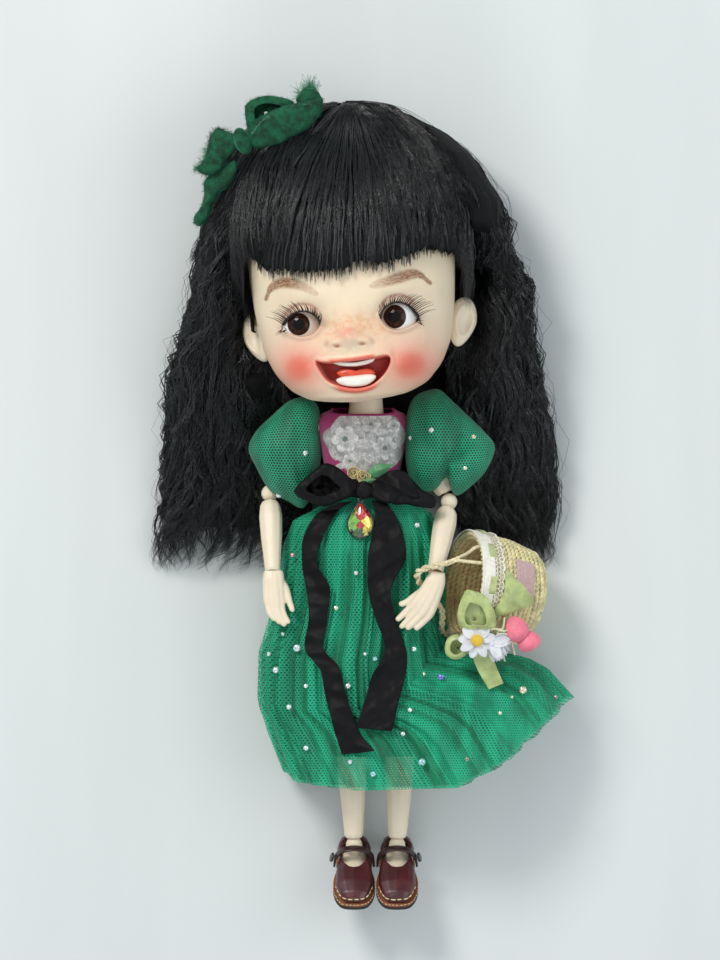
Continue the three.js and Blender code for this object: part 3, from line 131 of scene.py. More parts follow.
def new_mesh(verts, faces, uv=None, colours=None):
    mesh = bpy.data.meshes.new("mesh")
    if isinstance(faces, np.ndarray):
        count, size = faces.shape
        mesh.vertices.add(len(verts))
        mesh.vertices.foreach_set("co", (np.asarray(verts, np.float32) * MM).ravel())
        mesh.loops.add(count * size)
        mesh.loops.foreach_set("vertex_index", faces.astype(np.int32).ravel())
        mesh.polygons.add(count)
        mesh.polygons.foreach_set("loop_start", np.arange(0, count * size, size, dtype=np.int32))
        mesh.update(calc_edges=True)
    else:
        mesh.from_pydata((np.asarray(verts) * MM).tolist(), [], faces)
        mesh.update()
    mesh.polygons.foreach_set("use_smooth", np.ones(len(mesh.polygons), bool))
    if uv is not None:
        layer = mesh.uv_layers.new(name="UVMap")
        index = np.empty(len(mesh.loops), np.int32)
        mesh.loops.foreach_get("vertex_index", index)
        layer.data.foreach_set("uv", np.asarray(uv, np.float32)[index].ravel())
    for key, values in (colours or {}).items():
        layer = mesh.color_attributes.new(name=key, type="FLOAT_COLOR", domain="POINT")
        rgba = np.ones((len(verts), 4), np.float32)
        rgba[:, : values.shape[1]] = values
        layer.data.foreach_set("color", rgba.ravel())
    return mesh


def mesh_points(mesh):
    points = np.empty(len(mesh.vertices) * 3)
    mesh.vertices.foreach_get("co", points)
    return points.reshape(-1, 3) / MM


def move_points(mesh, points):
    mesh.vertices.foreach_set("co", (points * MM).ravel())
    mesh.update()
    return mesh


def piece(name, mesh, look, body, replaces=()):
    mesh.name = name
    mesh.materials.append(look)
    obj = bpy.data.objects.new(name, mesh)
    bpy.context.scene.collection.objects.link(obj)
    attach(obj, body)
    if replaces:
        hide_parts(*replaces)
    return obj


def grid_faces(rows, columns, wrap=False):
    j = np.arange(columns if wrap else columns - 1)
    i = np.arange(rows - 1)[:, None]
    a = i * columns + j
    b = i * columns + (j + 1) % columns
    return np.stack([a, b, b + columns, a + columns], -1).reshape(-1, 4)


# A surface through a grid of points; with a thickness it is a closed slab
def sheet_mesh(points, wrap=False, thickness=0.0, uv=None):
    rows, columns = points.shape[:2]
    if not thickness:
        flat = None if uv is None else uv.reshape(-1, 2)
        return new_mesh(points.reshape(-1, 3), grid_faces(rows, columns, wrap), flat)
    across = np.roll(points, -1, 1) - np.roll(points, 1, 1) if wrap else np.gradient(points, axis=1)
    normal = unit(np.cross(across, np.gradient(points, axis=0)))
    loop = np.concatenate([points + normal * thickness / 2, (points - normal * thickness / 2)[::-1]])
    count = len(loop)
    faces = grid_faces(count, columns, wrap)
    last = np.arange(columns if wrap else columns - 1)
    nxt = (last + 1) % columns
    closing = np.stack([(count - 1) * columns + last, (count - 1) * columns + nxt, nxt, last], -1)
    faces = np.concatenate([faces, closing])
    if not wrap:
        k = np.arange(rows - 1)
        for edge, turn in ((0, 1), (columns - 1, -1)):
            a = k * columns + edge
            b = (k + 1) * columns + edge
            c = (count - 2 - k) * columns + edge
            d = (count - 1 - k) * columns + edge
            faces = np.concatenate([faces, np.stack([a, b, c, d][::turn], -1)])
    flat = None if uv is None else np.concatenate([uv, uv[::-1]]).reshape(-1, 2)
    return new_mesh(loop.reshape(-1, 3), faces, flat)


# Many tubes at once: paths is strands x points x 3, radii strands x points
def tubes_mesh(paths, radii, sides=3, closed=False):
    n, m, _ = paths.shape
    radii = np.broadcast_to(radii, (n, m))
    tangent = np.roll(paths, -1, 1) - np.roll(paths, 1, 1) if closed else np.gradient(paths, axis=1)
    tangent = unit(tangent)
    up = np.array([0, 0, 1.0])
    upright = np.abs(tangent @ up) > 0.96
    reference = np.where(upright[..., None], np.array([0, 1.0, 0]), up)
    side = unit(np.cross(tangent, reference))
    rise = np.cross(side, tangent)
    angle = np.arange(sides) / sides * 2 * math.pi
    ring = side[:, :, None] * np.cos(angle)[:, None] + rise[:, :, None] * np.sin(angle)[:, None]
    verts = (paths[:, :, None] + ring * radii[..., None, None]).reshape(-1, 3)
    one = []
    for i in range(m if closed else m - 1):
        for k in range(sides):
            a = i * sides + k
            b = i * sides + (k + 1) % sides
            step = sides if i < m - 1 else -i * sides
            one.append((a, b, b + step, a + step))
    one = np.array(one)
    faces = (one[None] + (np.arange(n) * m * sides)[:, None, None]).reshape(-1, 4)
    return new_mesh(verts, faces)


def one_tube(points, radius, sides, count=0, closed=False):
    path = curve(points, count, closed) if count else np.asarray(points, float)
    return tubes_mesh(path[None], np.atleast_2d(radius), sides, closed)


def joined(meshes):
    target = bpy.data.meshes.new("mesh")
    bm = bmesh.new()
    for mesh in meshes:
        bm.from_mesh(mesh)
    bm.to_mesh(target)
    bm.free()
    for mesh in meshes:
        bpy.data.meshes.remove(mesh)
    target.polygons.foreach_set("use_smooth", np.ones(len(target.polygons), bool))
    return target


# A mesh made one skin of even faces and smoothed
def fused(mesh, voxel, rounds, grow=0.0):
    work = bpy.data.objects.new("work", mesh)
    bpy.context.scene.collection.objects.link(work)
    remesh = work.modifiers.new("remesh", "REMESH")
    remesh.mode = "VOXEL"
    remesh.voxel_size = voxel * MM
    smooth = work.modifiers.new("smooth", "SMOOTH")
    smooth.factor = 0.5
    smooth.iterations = rounds
    if grow:
        push = work.modifiers.new("push", "DISPLACE")
        push.strength = grow * MM
        push.mid_level = 0
    shape = work.evaluated_get(bpy.context.evaluated_depsgraph_get())
    ready = bpy.data.meshes.new_from_object(shape)
    ready.materials.clear()
    bpy.data.objects.remove(work)
    ready.polygons.foreach_set("use_smooth", np.ones(len(ready.polygons), bool))
    return ready


# A rounded copy of a CAD piece
def softened(node, voxel, rounds, grow):
    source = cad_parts[node]
    mesh = source.data.copy()
    mesh.transform(source.matrix_world)
    return fused(mesh, voxel, rounds, grow)


def ellipsoid_mesh(centre, half, rows=16, columns=24, turn=None, shape=None):
    v = np.linspace(0, math.pi, rows + 1)[:, None]
    u = np.arange(columns) / columns * 2 * math.pi
    p = np.stack([np.sin(v) * np.cos(u), np.sin(v) * np.sin(u), np.cos(v) + 0 * u], -1)
    if shape:
        p = shape(p)
    p = p * np.asarray(half, float)
    if turn is not None:
        p = p @ np.asarray(turn).T
    return new_mesh((p + np.asarray(centre, float)).reshape(-1, 3), grid_faces(rows + 1, columns, True))


# Materials

def srgb(text):
    channels = [int(text[i : i + 2], 16) / 255 for i in (0, 2, 4)]
    return tuple(c / 12.92 if c < 0.04045 else ((c + 0.055) / 1.055) ** 2.4 for c in channels)


class Look:
    """A material whose base colour, roughness, bump and alpha are built from nodes"""

    def __init__(self, name, colour, roughness=0.5, **sockets):
        self.material = bpy.data.materials.new(name)
        self.material.use_nodes = True
        self.tree = self.material.node_tree
        self.shader = self.tree.nodes["Principled BSDF"]
        self.colour = self.value(colour)
        self.shader.inputs["Roughness"].default_value = roughness
        for key, value in sockets.items():
            self.shader.inputs[key.replace("_", " ")].default_value = value
        self.coords = self.tree.nodes.new("ShaderNodeTexCoord")
        self.height = None

    def value(self, colour):
        colour = srgb(colour) if isinstance(colour, str) else colour
        return tuple(colour) + (1,) if len(colour) == 3 else tuple(colour)

    def set(self, socket, source):
        if isinstance(source, bpy.types.NodeSocket):
            self.tree.links.new(source, socket)
        else:
            socket.default_value = source
        return socket

    def node(self, kind, inputs=(), out=0, **settings):
        made = self.tree.nodes.new("ShaderNode" + kind)
        for key, value in settings.items():
            setattr(made, key, value)
        for key, source in dict(inputs).items():
            self.set(made.inputs[key], source)
        return made.outputs[out]

    def math(self, operation, a, b=0.0, c=0.0):
        return self.node("Math", {0: a, 1: b, 2: c}, operation=operation)

    def band(self, value, low, high, start=0.0, end=1.0):
        return self.node(
            "MapRange",
            {0: value, 1: low, 2: high, 3: start, 4: end},
            interpolation_type="SMOOTHSTEP",
        )

    def place(self, source="Object", scale=(1, 1, 1), turn=(0, 0, 0)):
        return self.node("Mapping", {0: self.coords.outputs[source], 2: turn, 3: scale})

    # Noise of a feature size in millimetres
    def noise(self, size, detail=3, rough=0.55, stretch=(1, 1, 1)):
        place = self.place(scale=stretch)
        inputs = {"Vector": place, "Scale": 1000 / size, "Detail": detail, "Roughness": rough}
        return self.node("TexNoise", inputs)

    def cells(self, size, feature="F1", out=0):
        return self.node("TexVoronoi", {"Vector": self.place(), "Scale": 1000 / size}, out, feature=feature)

    def mix(self, factor, a, b, mode="MIX"):
        made = self.tree.nodes.new("ShaderNodeMix")
        made.data_type = "RGBA"
        made.blend_type = mode
        ends = [self.value(x) if isinstance(x, (tuple, str)) else x for x in (a, b)]
        self.set(made.inputs[0], factor)
        self.set(made.inputs[6], ends[0])
        self.set(made.inputs[7], ends[1])
        return made.outputs[2]

    def tint(self, factor, colour):
        self.colour = self.mix(factor, self.colour, colour)
        return self

    def mottle(self, size, dark, light, low=0.3, high=0.7, **kw):
        self.colour = self.mix(self.band(self.noise(size, **kw), low, high), self.mul(dark), self.mul(light))
        return self

    def mul(self, factor):
        if isinstance(self.colour, tuple):
            return tuple(min(1, c * factor) for c in self.colour[:3]) + (1,)
        return self.mix(1.0, self.colour, (factor, factor, factor), "MULTIPLY")

    def bump(self, height, depth, strength=1.0):
        inputs = {"Height": height, "Distance": depth * MM, "Strength": strength}
        if self.height is not None:
            inputs["Normal"] = self.height
        self.height = self.node("Bump", inputs)
        return self

    # Bands of a spacing in millimetres
    def wave(self, size, turn=(0, 0, 0), source="Object"):
        at = self.place(source, (1, 1, 1), turn)
        return self.node("TexWave", {"Vector": at, "Scale": 1000 / size / 20 * math.pi, "Detail": 1.0}, 1)

    def grain(self, depth, strength, *size, **kw):
        return self.bump(self.noise(*size, **kw), depth, strength)

    def rough(self, source):
        self.set(self.shader.inputs["Roughness"], source)
        return self

    def attribute(self, name):
        return self.node("SeparateColor", {0: self.node("Attribute", attribute_name=name)}, 0).node

    # Round holes in a hexagonal net: 1 on a thread, 0 in a hole, from UV in millimetres
    def net(self, pitch, hole):
        uv = self.node("SeparateXYZ", {0: self.coords.outputs["UV"]}, 0).node
        u = self.math("MULTIPLY", uv.outputs[0], 1 / pitch)
        v = self.math("MULTIPLY", uv.outputs[1], 1 / pitch)
        near = []
        root, inverse = 1.73205, 0.57735  # of 3: the rows' spacing, for holes one pitch apart
        for shift in (0.0, 0.5):
            du = self.math("SUBTRACT", self.math("FRACT", self.math("ADD", u, shift)), 0.5)
            row = self.math("FRACT", self.math("ADD", self.math("MULTIPLY", v, inverse), shift))
            dv = self.math("MULTIPLY", self.math("SUBTRACT", row, 0.5), root)
            squares = self.math("ADD", self.math("MULTIPLY", du, du), self.math("MULTIPLY", dv, dv))
            near.append(self.math("SQRT", squares))
        return self.band(self.math("MINIMUM", near[0], near[1]), hole - 0.06, hole + 0.06)

    def done(self, alpha=None):
        self.set(self.shader.inputs["Base Color"], self.colour)
        if self.height is not None:
            self.set(self.shader.inputs["Normal"], self.height)
        if alpha is not None:
            self.set(self.shader.inputs["Alpha"], alpha)
        return self.material


# Camera, lamps and floor

centre = spot(360, 480)
camera = bpy.data.objects.new("camera", bpy.data.cameras.new("camera"))
camera.data.type = "ORTHO"
camera.data.ortho_scale = 960 * PIXEL * MM
camera.location = (centre[0] * MM, centre[1] * MM, 0.9)
bpy.context.scene.collection.objects.link(camera)
bpy.context.scene.camera = camera

world = bpy.data.worlds.new("world")
bpy.context.scene.world = world
world.use_nodes = True
world.node_tree.nodes["Background"].inputs[0].default_value = (0.86, 0.93, 1.0, 1)
world.node_tree.nodes["Background"].inputs[1].default_value = 0.55
bpy.context.scene.view_settings.view_transform = "Standard"


def lamp(name, place, size, power, colour):
    data = bpy.data.lights.new(name, "AREA")
    data.shape = "DISK"
    data.size = size
    data.energy = power
    data.color = colour
    obj = bpy.data.objects.new(name, data)
    obj.location = place
    aim = Vector((centre[0] * MM, centre[1] * MM, 0)) - Vector(place)
    obj.rotation_euler = aim.to_track_quat("-Z", "Y").to_euler()
    bpy.context.scene.collection.objects.link(obj)


lamp("key", (-0.55, 0.75, 0.95), 0.45, 9.5, (1, 0.98, 0.95))
lamp("fill", (0.8, 0.1, 0.8), 0.9, 3.2, (0.94, 0.98, 1))
lamp("foot", (-0.1, -0.9, 0.7), 0.6, 2.2, (1, 1, 1))

board = Look("board", "D6DAD8", 0.6).mottle(60, 0.97, 1.02, stretch=(1, 0.2, 1))
board.grain(0.1, 0.3, 3, stretch=(1, 0.1, 1))
FLOOR_HALF, FLOOR_DROP = 1500.0, -0.05
corners = [[(x, y, FLOOR_DROP) for x in (-FLOOR_HALF, FLOOR_HALF)] for y in (-FLOOR_HALF, FLOOR_HALF)]
floor = bpy.data.objects.new("floor", sheet_mesh(np.array(corners)))
bpy.context.scene.collection.objects.link(floor)
floor.data.materials.append(board.done())


# Shared looks

def skin_look():
    look = Look("skin", "EBDCC2", 0.42, Subsurface_Weight=0.12, Subsurface_Scale=0.004,
                Specular_IOR_Level=0.4)
    look.mottle(9, 0.97, 1.02)
    look.grain(0.02, 0.5, 0.35, 2)
    look.rough(look.band(look.noise(2.5, 3), 0.2, 0.8, 0.36, 0.5))
    return look.done()


SKIN = skin_look()


def hair_look():
    look = Look("hair", "060809", 0.36, Specular_IOR_Level=0.75)
    # Streaks and clumps lighter and darker along the strands: their own tone, and partly a painted sheen
    look.mottle(1.6, 0.6, 1.6, stretch=(1, 0.04, 1))
    look.mottle(13, 0.75, 1.35, stretch=(1, 0.5, 1))
    look.rough(look.band(look.noise(1.6, 2), 0.3, 0.7, 0.22, 0.38))
    return look.done()


HAIR = hair_look()


def satin_look(name, colour, fine=0.35, rough=0.42, shade=0.85):
    look = Look(name, colour, rough, Sheen_Weight=0.3, Sheen_Roughness=0.5)
    look.mottle(4, shade, 1.12)
    look.bump(look.wave(fine, (0, 0, 0.1)), 0.03, 0.5)
    look.grain(0.25, 0.4, 2.4, 3)
    return look.done()


GREEN_RIBBON = satin_look("green_ribbon", "B4C27C", 0.35, 0.4, 0.75)
LEAF = satin_look("leaf_satin", "4E8F5C", 0.35, 0.4)
ROSE = satin_look("rose_silk", "D9C690", 0.35, 0.5)
PETAL = satin_look("petal_silk", "D6D8DC", 0.5, 0.6, 0.9)
POLLEN = satin_look("pollen", "EBC23A", 0.6, 0.8)


def net_look(name, colour, pitch, hole, thin, under=None, opacity=1.0):
    look = Look(name, colour, 0.62, Sheen_Weight=0.14, Sheen_Roughness=0.4)
    threads = look.net(pitch, hole)
    # Streaks of darker and lighter colour along the cloth: painted shade and light of its folds
    look.mottle(6, 0.68, 1.25, stretch=(1, 0.12, 1))
    # With a colour given under it, the holes are filled with that colour: a painted shade of the inside seen
    # through the net
    if under:
        look.colour = look.mix(threads, under, look.colour)
        look.bump(threads, 0.16, 0.8)
        return look.done()
    return look.done(look.band(threads, 0, 1, thin, opacity))


# Head

HEAD_HEIGHT, HEAD_HALF_WIDTH, FACE_REACH, SKULL_REACH, HEAD_POWER = 102, 37, 48, 22.5, 2.2
HEAD_AT = np.array([-1.4, 85.2, 26.0])
HEAD_ROWS = np.array([
    [0, 0.19, 0.79, -1.07], [0.015, 0.41, 0.855, -0.44], [0.04, 0.58, 0.906, 0.27],
    [0.09, 0.74, 0.955, 0.66], [0.17, 0.87, 0.99, 0.88], [0.29, 0.946, 1, 0.98],
    [0.41, 0.984, 0.99, 1], [0.54, 1, 0.958, 1], [0.67, 0.97, 0.875, 0.955],
    [0.78, 0.87, 0.75, 0.8], [0.88, 0.69, 0.57, 0.53], [0.96, 0.41, 0.36, 0.18],
])


def turn_y(a):
    return np.array([[math.cos(a), 0, math.sin(a)], [0, 1, 0], [-math.sin(a), 0, math.cos(a)]])


def turn_z(a):
    return np.array([[math.cos(a), -math.sin(a), 0], [math.sin(a), math.cos(a), 0], [0, 0, 1]])


HEAD_TURN = turn_y(math.radians(-6)) @ turn_z(math.radians(4.5))


def out_of_head(points):
    return points @ HEAD_TURN.T + HEAD_AT


def into_head(points):
    return (points - HEAD_AT) @ HEAD_TURN


# Smooth reading of the head's rows at a height
def head_rows(height):
    x, y = HEAD_ROWS[:, 0], HEAD_ROWS[:, 1:]
    slope = np.gradient(y, x, axis=0)
    t = np.clip(height, x[0], x[-1])
    i = np.clip(np.searchsorted(x, t, side="right") - 1, 0, len(x) - 2)
    h = (x[i + 1] - x[i])[..., None]
    f = ((t - x[i]) / (x[i + 1] - x[i]))[..., None]
    a, b = y[i], y[i + 1]
    da, db = slope[i] * h, slope[i + 1] * h
    return ((2 * f**3 - 3 * f**2 + 1) * a + (f**3 - 2 * f**2 + f) * da
            + (3 * f**2 - 2 * f**3) * b + (f**3 - f**2) * db)


# The head's surface in its own frame: the angle starts at the doll's left and passes over the face
def head_surface(angle, height, grow=0.0):
    rows = head_rows(height)
    low = np.clip(height / 0.015, 0, 1)
    high = np.clip((1 - height) / 0.04, 0, 1)
    shrink = np.where(height > 0.5, np.sqrt(1 - (1 - high) ** 2), 1)
    shrink = shrink * (0.02 + 0.98 * np.where(height < 0.5, np.sqrt(1 - (1 - low) ** 2), 1))
    width = (rows[..., 0] * HEAD_HALF_WIDTH + grow) * shrink
    front = rows[..., 1] * FACE_REACH + grow
    back = rows[..., 2] * SKULL_REACH + grow
    depth = (front + back) / 2
    c, s = np.cos(angle), np.sin(angle)
    x = width * np.sign(c) * np.abs(c) ** (2 / HEAD_POWER)
    z = (front - back) / 2 + depth * shrink * np.sign(s) * np.abs(s) ** (2 / HEAD_POWER)
    y = height * HEAD_HEIGHT + grow * (smoothstep(0.55, 1, height) - smoothstep(0.3, 0, height))
    return np.stack([x, y, z], -1)


def blob(uv, u, v, wide, high, turn=0.0):
    c, s = math.cos(turn), math.sin(turn)
    x, y = uv[:, 0] - u, uv[:, 1] - v
    return np.exp(-(((x * c + y * s) / wide) ** 2 + ((y * c - x * s) / high) ** 2))


EYE_OUTLINES = {
    "r": curve([(281.8, 329), (286, 321), (292.5, 314.8), (301, 311.6), (310, 313), (316.5, 318),
                (319.6, 324.5), (316, 331), (309, 335.4), (300, 336.2), (291, 333.6)], 60, True),
    "l": curve([(380.8, 317), (384.5, 309), (391, 304), (399, 302.6), (407.5, 305), (414, 311),
                (419.5, 319.5), (412, 325), (403, 329), (394, 329.4), (386, 325.6)], 60, True),
}
MOUTH = curve([(316, 361.6), (322, 362.2), (332, 362.6), (345, 361.6), (356, 360.4), (368, 358.6),
               (376, 357.4), (384, 355.6), (389, 356.2), (390.6, 361), (387, 370), (379.6, 379),
               (370, 385.6), (356, 388.4), (341, 386.4), (328, 381), (320, 371)], 110, True)
SIDE_EYES = (("r", (298.6, 324.2), 11.3), ("l", (394.2, 316.6), 12.0))


# How far places of the face stand out: [height, u, v, half width, half height, turn]
FACE_FORMS = (
    (1.4, 297, 368, 26, 24), (1.5, 412, 364, 27, 25),  # cheeks
    (3.4, 349.5, 337.5, 10.5, 9.5), (0.9, 350, 322, 16, 19),  # nose and its bridge
    (1.5, 333.5, 342.5, 7, 5.4), (1.5, 365.5, 340.5, 7, 5.4),  # wings of the nose
    (-0.9, 326.5, 345, 2.4, 4.2, 0.3), (-0.9, 373.5, 342, 2.4, 4.2, -0.5),  # beside the wings
    (-1.3, 337, 346.3, 3.3, 1.7), (-1.3, 362.3, 344, 3.3, 1.7),  # nostrils
    (-0.35, 349.6, 352, 2.2, 4), (0.3, 345, 353, 2.4, 4), (0.3, 355, 352.6, 2.4, 4),  # under the nose
    (-1.1, 303, 322, 27, 17), (-1.1, 400, 315, 28, 17),  # round the eyes
    (0.9, 355, 400, 20, 9), (-0.55, 356, 394.5, 16, 2.6),  # chin
    (-0.9, 311.5, 361, 3, 6, 0.5), (-0.9, 395, 355.4, 3, 6, -0.5),  # corners of the mouth
    (0.7, 306, 295, 24, 10), (0.7, 398, 288, 26, 10),  # brow ridges
)
BROWS = ((curve([(266, 299), (271, 288.5), (280, 283.4), (292, 283.2), (303, 286.4), (317, 294)], 30), 6.0),
         (curve([(371, 286), (383, 282.5), (397, 278.3), (410, 274.4), (420, 275), (430, 283)], 30), 6.2))


# The crease of the lid above an eye
def lid_crease(uv, outline):
    return line_distance(uv, curve(outline[:28] + np.array([0, -7.2]), 30))[0]


def head_mesh():
    front = np.linspace(0, math.pi, 380, endpoint=False)
    back = np.linspace(math.pi, 2 * math.pi, 70, endpoint=False)
    angle = np.concatenate([front, back])[None, :]
    height = np.concatenate([[0.0001, 0.004, 0.01], np.linspace(0.018, 0.6, 215), np.linspace(0.62, 1, 34)])
    height = height[:, None]
    base = head_surface(angle + 0 * height, height + 0 * angle)
    rows, columns = base.shape[:2]
    points = out_of_head(base).reshape(-1, 3)
    uv = as_pixels(points)
    ahead = smoothstep(5, 24, base[..., 2].reshape(-1))
    rise = sum(height * blob(uv, *form) for height, *form in FACE_FORMS)
    for outline in EYE_OUTLINES.values():
        away = signed_distance(uv, outline)
        rise += 1.05 * np.exp(-((np.clip(away, -3, 30) - 1.6) / 2.4) ** 2)
        rise -= 0.45 * np.exp(-((lid_crease(uv, outline) / 1.7) ** 2))
        rise -= 7.5 * smoothstep(0.3, -2.4, away)
    mouth = signed_distance(uv, MOUTH)
    lip = np.exp(-(((mouth - 2.2) / 2.4) ** 2))
    lower = smoothstep(368, 382, uv[:, 1])
    upper = smoothstep(368, 362, uv[:, 1]) * smoothstep(32, 22, np.abs(uv[:, 0] - 353))
    rise += (0.35 + 1.0 * lower * smoothstep(34, 18, np.abs(uv[:, 0] - 356)) + 0.85 * upper) * lip
    rise -= 8.5 * smoothstep(0.2, -2.2, mouth)
    points = points + np.outer(rise * ahead, HEAD_TURN[:, 2])

    paint = np.zeros((len(points), 3))
    lip_room = smoothstep(26, 20, np.abs(uv[:, 0] - 352))
    top_lip = smoothstep(4.6, 2.4, mouth) * smoothstep(367, 362, uv[:, 1]) * lip_room
    low_lip = smoothstep(6.4, 3.6, mouth) * smoothstep(372, 380, uv[:, 1])
    low_lip = low_lip * smoothstep(28, 15, np.abs(uv[:, 0] - 356.5))
    rim = smoothstep(1.7, 0.5, np.abs(mouth)) * 0.85
    paint[:, 0] = np.clip(np.maximum.reduce([top_lip, low_lip, rim]), 0, 1)
    cheeks = 0.74 * blob(uv, 298, 368, 31, 29) + 0.74 * blob(uv, 412, 364, 36, 28)
    cheeks = cheeks + 0.24 * blob(uv, 301, 369, 20, 18) + 0.26 * blob(uv, 409, 367, 21, 18)
    paint[:, 1] = np.clip(cheeks, 0, 1)
    brows = np.zeros(len(points))
    for line, thick in BROWS:
        distance, share = line_distance(uv, line)
        outer = share if line[0][0] > 340 else 1 - share
        width = thick * (0.45 + 0.8 * np.sin(np.clip(outer * 1.15, 0, 1) * math.pi) ** 0.6)
        brow = smoothstep(width, width * 0.4, distance) * (0.35 + 0.65 * smoothstep(0.0, 0.5, outer))
        brows = np.maximum(brows, brow)
    paint[:, 2] = brows
    more = np.zeros((len(points), 3))
    for side, v in (("r", 324), ("l", 316)):
        away = signed_distance(uv, EYE_OUTLINES[side])
        above = smoothstep(v + 6, v - 6, uv[:, 1])
        shadow = np.exp(-((lid_crease(uv, EYE_OUTLINES[side]) / 1.5) ** 2))
        shadow += 0.4 * np.exp(-((away - 3) / 5) ** 2) * above
        shadow += 0.35 * np.exp(-((away - 1) / 4) ** 2) * (1 - above)
        more[:, 0] = np.maximum(more[:, 0], np.clip(shadow, 0, 1))
    more[:, 1] = np.clip(0.8 * blob(uv, 347.5, 333, 9.5, 7) + 0.35 * blob(uv, 356, 399, 16, 6), 0, 1)
    bridge = blob(uv, 352, 324, 26, 13) + 0.55 * blob(uv, 328, 334, 16, 10)
    more[:, 2] = np.clip(bridge + 0.55 * blob(uv, 378, 329, 18, 12), 0, 1)
    extra = np.zeros((len(points), 3))
    extra[:, 0] = smoothstep(-0.6, -2.0, mouth)
    for side, v in (("r", 325), ("l", 318)):
        lid = smoothstep(1.2, 0.2, np.abs(signed_distance(uv, EYE_OUTLINES[side]) - 0.2))
        extra[:, 1] = np.maximum(extra[:, 1], lid * smoothstep(v + 5, v - 4, uv[:, 1]))
    nostril = 0.9 * blob(uv, 337, 346.2, 3.4, 1.7) + 0.9 * blob(uv, 362.4, 343.8, 3.4, 1.7)
    nostril = nostril + 0.3 * blob(uv, 326.5, 345, 1.8, 4, 0.3) + 0.3 * blob(uv, 373.5, 342, 1.8, 4, -0.5)
    extra[:, 2] = np.clip(nostril, 0, 1)
    return new_mesh(points, grid_faces(rows, columns, True), None,
                    {"paint": paint, "more": more, "extra": extra})


def face_look():
    look = Look("painted_vinyl", "E9D6B8", 0.45, Subsurface_Weight=0.15, Subsurface_Scale=0.004)
    look.mottle(16, 0.96, 1.03)
    paint, more, extra = (look.attribute(name) for name in ("paint", "more", "extra"))
    spots_at = look.cells(1.5)
    chance = look.cells(1.5, out=1)
    few = look.math("GREATER_THAN", look.node("SeparateColor", {0: chance}, 0), 0.45)
    fleck = look.math("MULTIPLY", look.band(spots_at, 0.3, 0.12), few)
    look.tint(look.math("MULTIPLY", more.outputs[2], look.band(look.noise(2.2, 3), 0.35, 0.7, 0.25, 0.6)),
              "D98A4A")
    look.tint(look.math("MULTIPLY", look.math("MULTIPLY", fleck, more.outputs[2]), 0.26), "A8622F")
    look.tint(look.math("MULTIPLY", more.outputs[1], 0.62), "EE8C80")
    blush = paint.outputs[1]
    look.tint(look.math("MULTIPLY", blush, look.band(look.noise(0.7), 0, 1, 0.68, 0.95)), "EA7461")
    look.tint(look.band(blush, 0.6, 1.0, 0, 0.5), "DE4A33")
    look.tint(look.math("MULTIPLY", more.outputs[0], 0.62), "B4736A")
    hairs = look.band(look.noise(0.8, 4, stretch=(0.5, 1.6, 1)), 0.35, 0.62, 0.6, 1.0)
    look.tint(look.math("MULTIPLY", paint.outputs[2], hairs), "8A5A38")
    look.tint(look.math("MULTIPLY", paint.outputs[0], 0.9), "E2604C")
    look.tint(extra.outputs[0], "C8504A")
    look.tint(look.math("MULTIPLY", extra.outputs[1], 0.9), "2A1713")
    look.tint(look.math("MULTIPLY", extra.outputs[2], 0.8), "A85D3C")
    look.grain(0.015, 0.4, 0.5, 2)
    gloss = look.math("MAXIMUM", paint.outputs[0], extra.outputs[0])
    look.rough(look.band(gloss, 0, 1, 0.45, 0.27))
    return look.done()


piece("face", head_mesh(), face_look(), "head", ["head_shell", "head_cap", "mouth_lining"])


def ear_mesh(side):
    sign = 1 if side == "l" else -1

    def shape(p):
        r = np.hypot(p[..., 0], p[..., 1])
        bowl = np.exp(-(((p[..., 0] - 0.1 * sign) / 0.5) ** 2 + ((p[..., 1] + 0.02) / 0.58) ** 2))
        fold = np.exp(-((r - 0.62) / 0.13) ** 2)
        q = p.copy()
        q[..., 2] = p[..., 2] + np.where(p[..., 2] > 0, -0.75 * bowl + 0.12 * fold, 0)
        q[..., 0] = p[..., 0] * (1 - 0.25 * np.clip(-p[..., 1], 0, 1))
        q[..., 1] = np.where(p[..., 1] < 0, p[..., 1] * (1.08 + 0.12 * -sign * p[..., 0]), p[..., 1])
        return q

    local = np.array([sign * 37.0, 26.2, 2.0])
    lean = turn_z(math.radians(-14 * sign))
    mesh = ellipsoid_mesh((0, 0, 0), (5.3, 8.6, 4.2), 48, 48, turn_y(math.radians(24 * sign)) @ lean, shape)
    return move_points(mesh, out_of_head(mesh_points(mesh) + local))


for side in "rl":
    piece(f"ear_{side}", ear_mesh(side), SKIN, "head")


# Eyes, with their irises where they look

def face_height(u, v):
    target = spot(u, v)
    z = 74.0
    for _ in range(12):
        local = into_head(np.array([[target[0], target[1], z]]))[0]
        rows = head_rows(np.array(local[1] / HEAD_HEIGHT))
        rest = max(1e-4, 1 - abs(local[0] / (rows[0] * HEAD_HALF_WIDTH)) ** HEAD_POWER)
        front, back = rows[1] * FACE_REACH, rows[2] * SKULL_REACH
        local[2] = (front - back) / 2 + (front + back) / 2 * rest ** (1 / HEAD_POWER)
        z = out_of_head(local[None])[0][2]
    return z


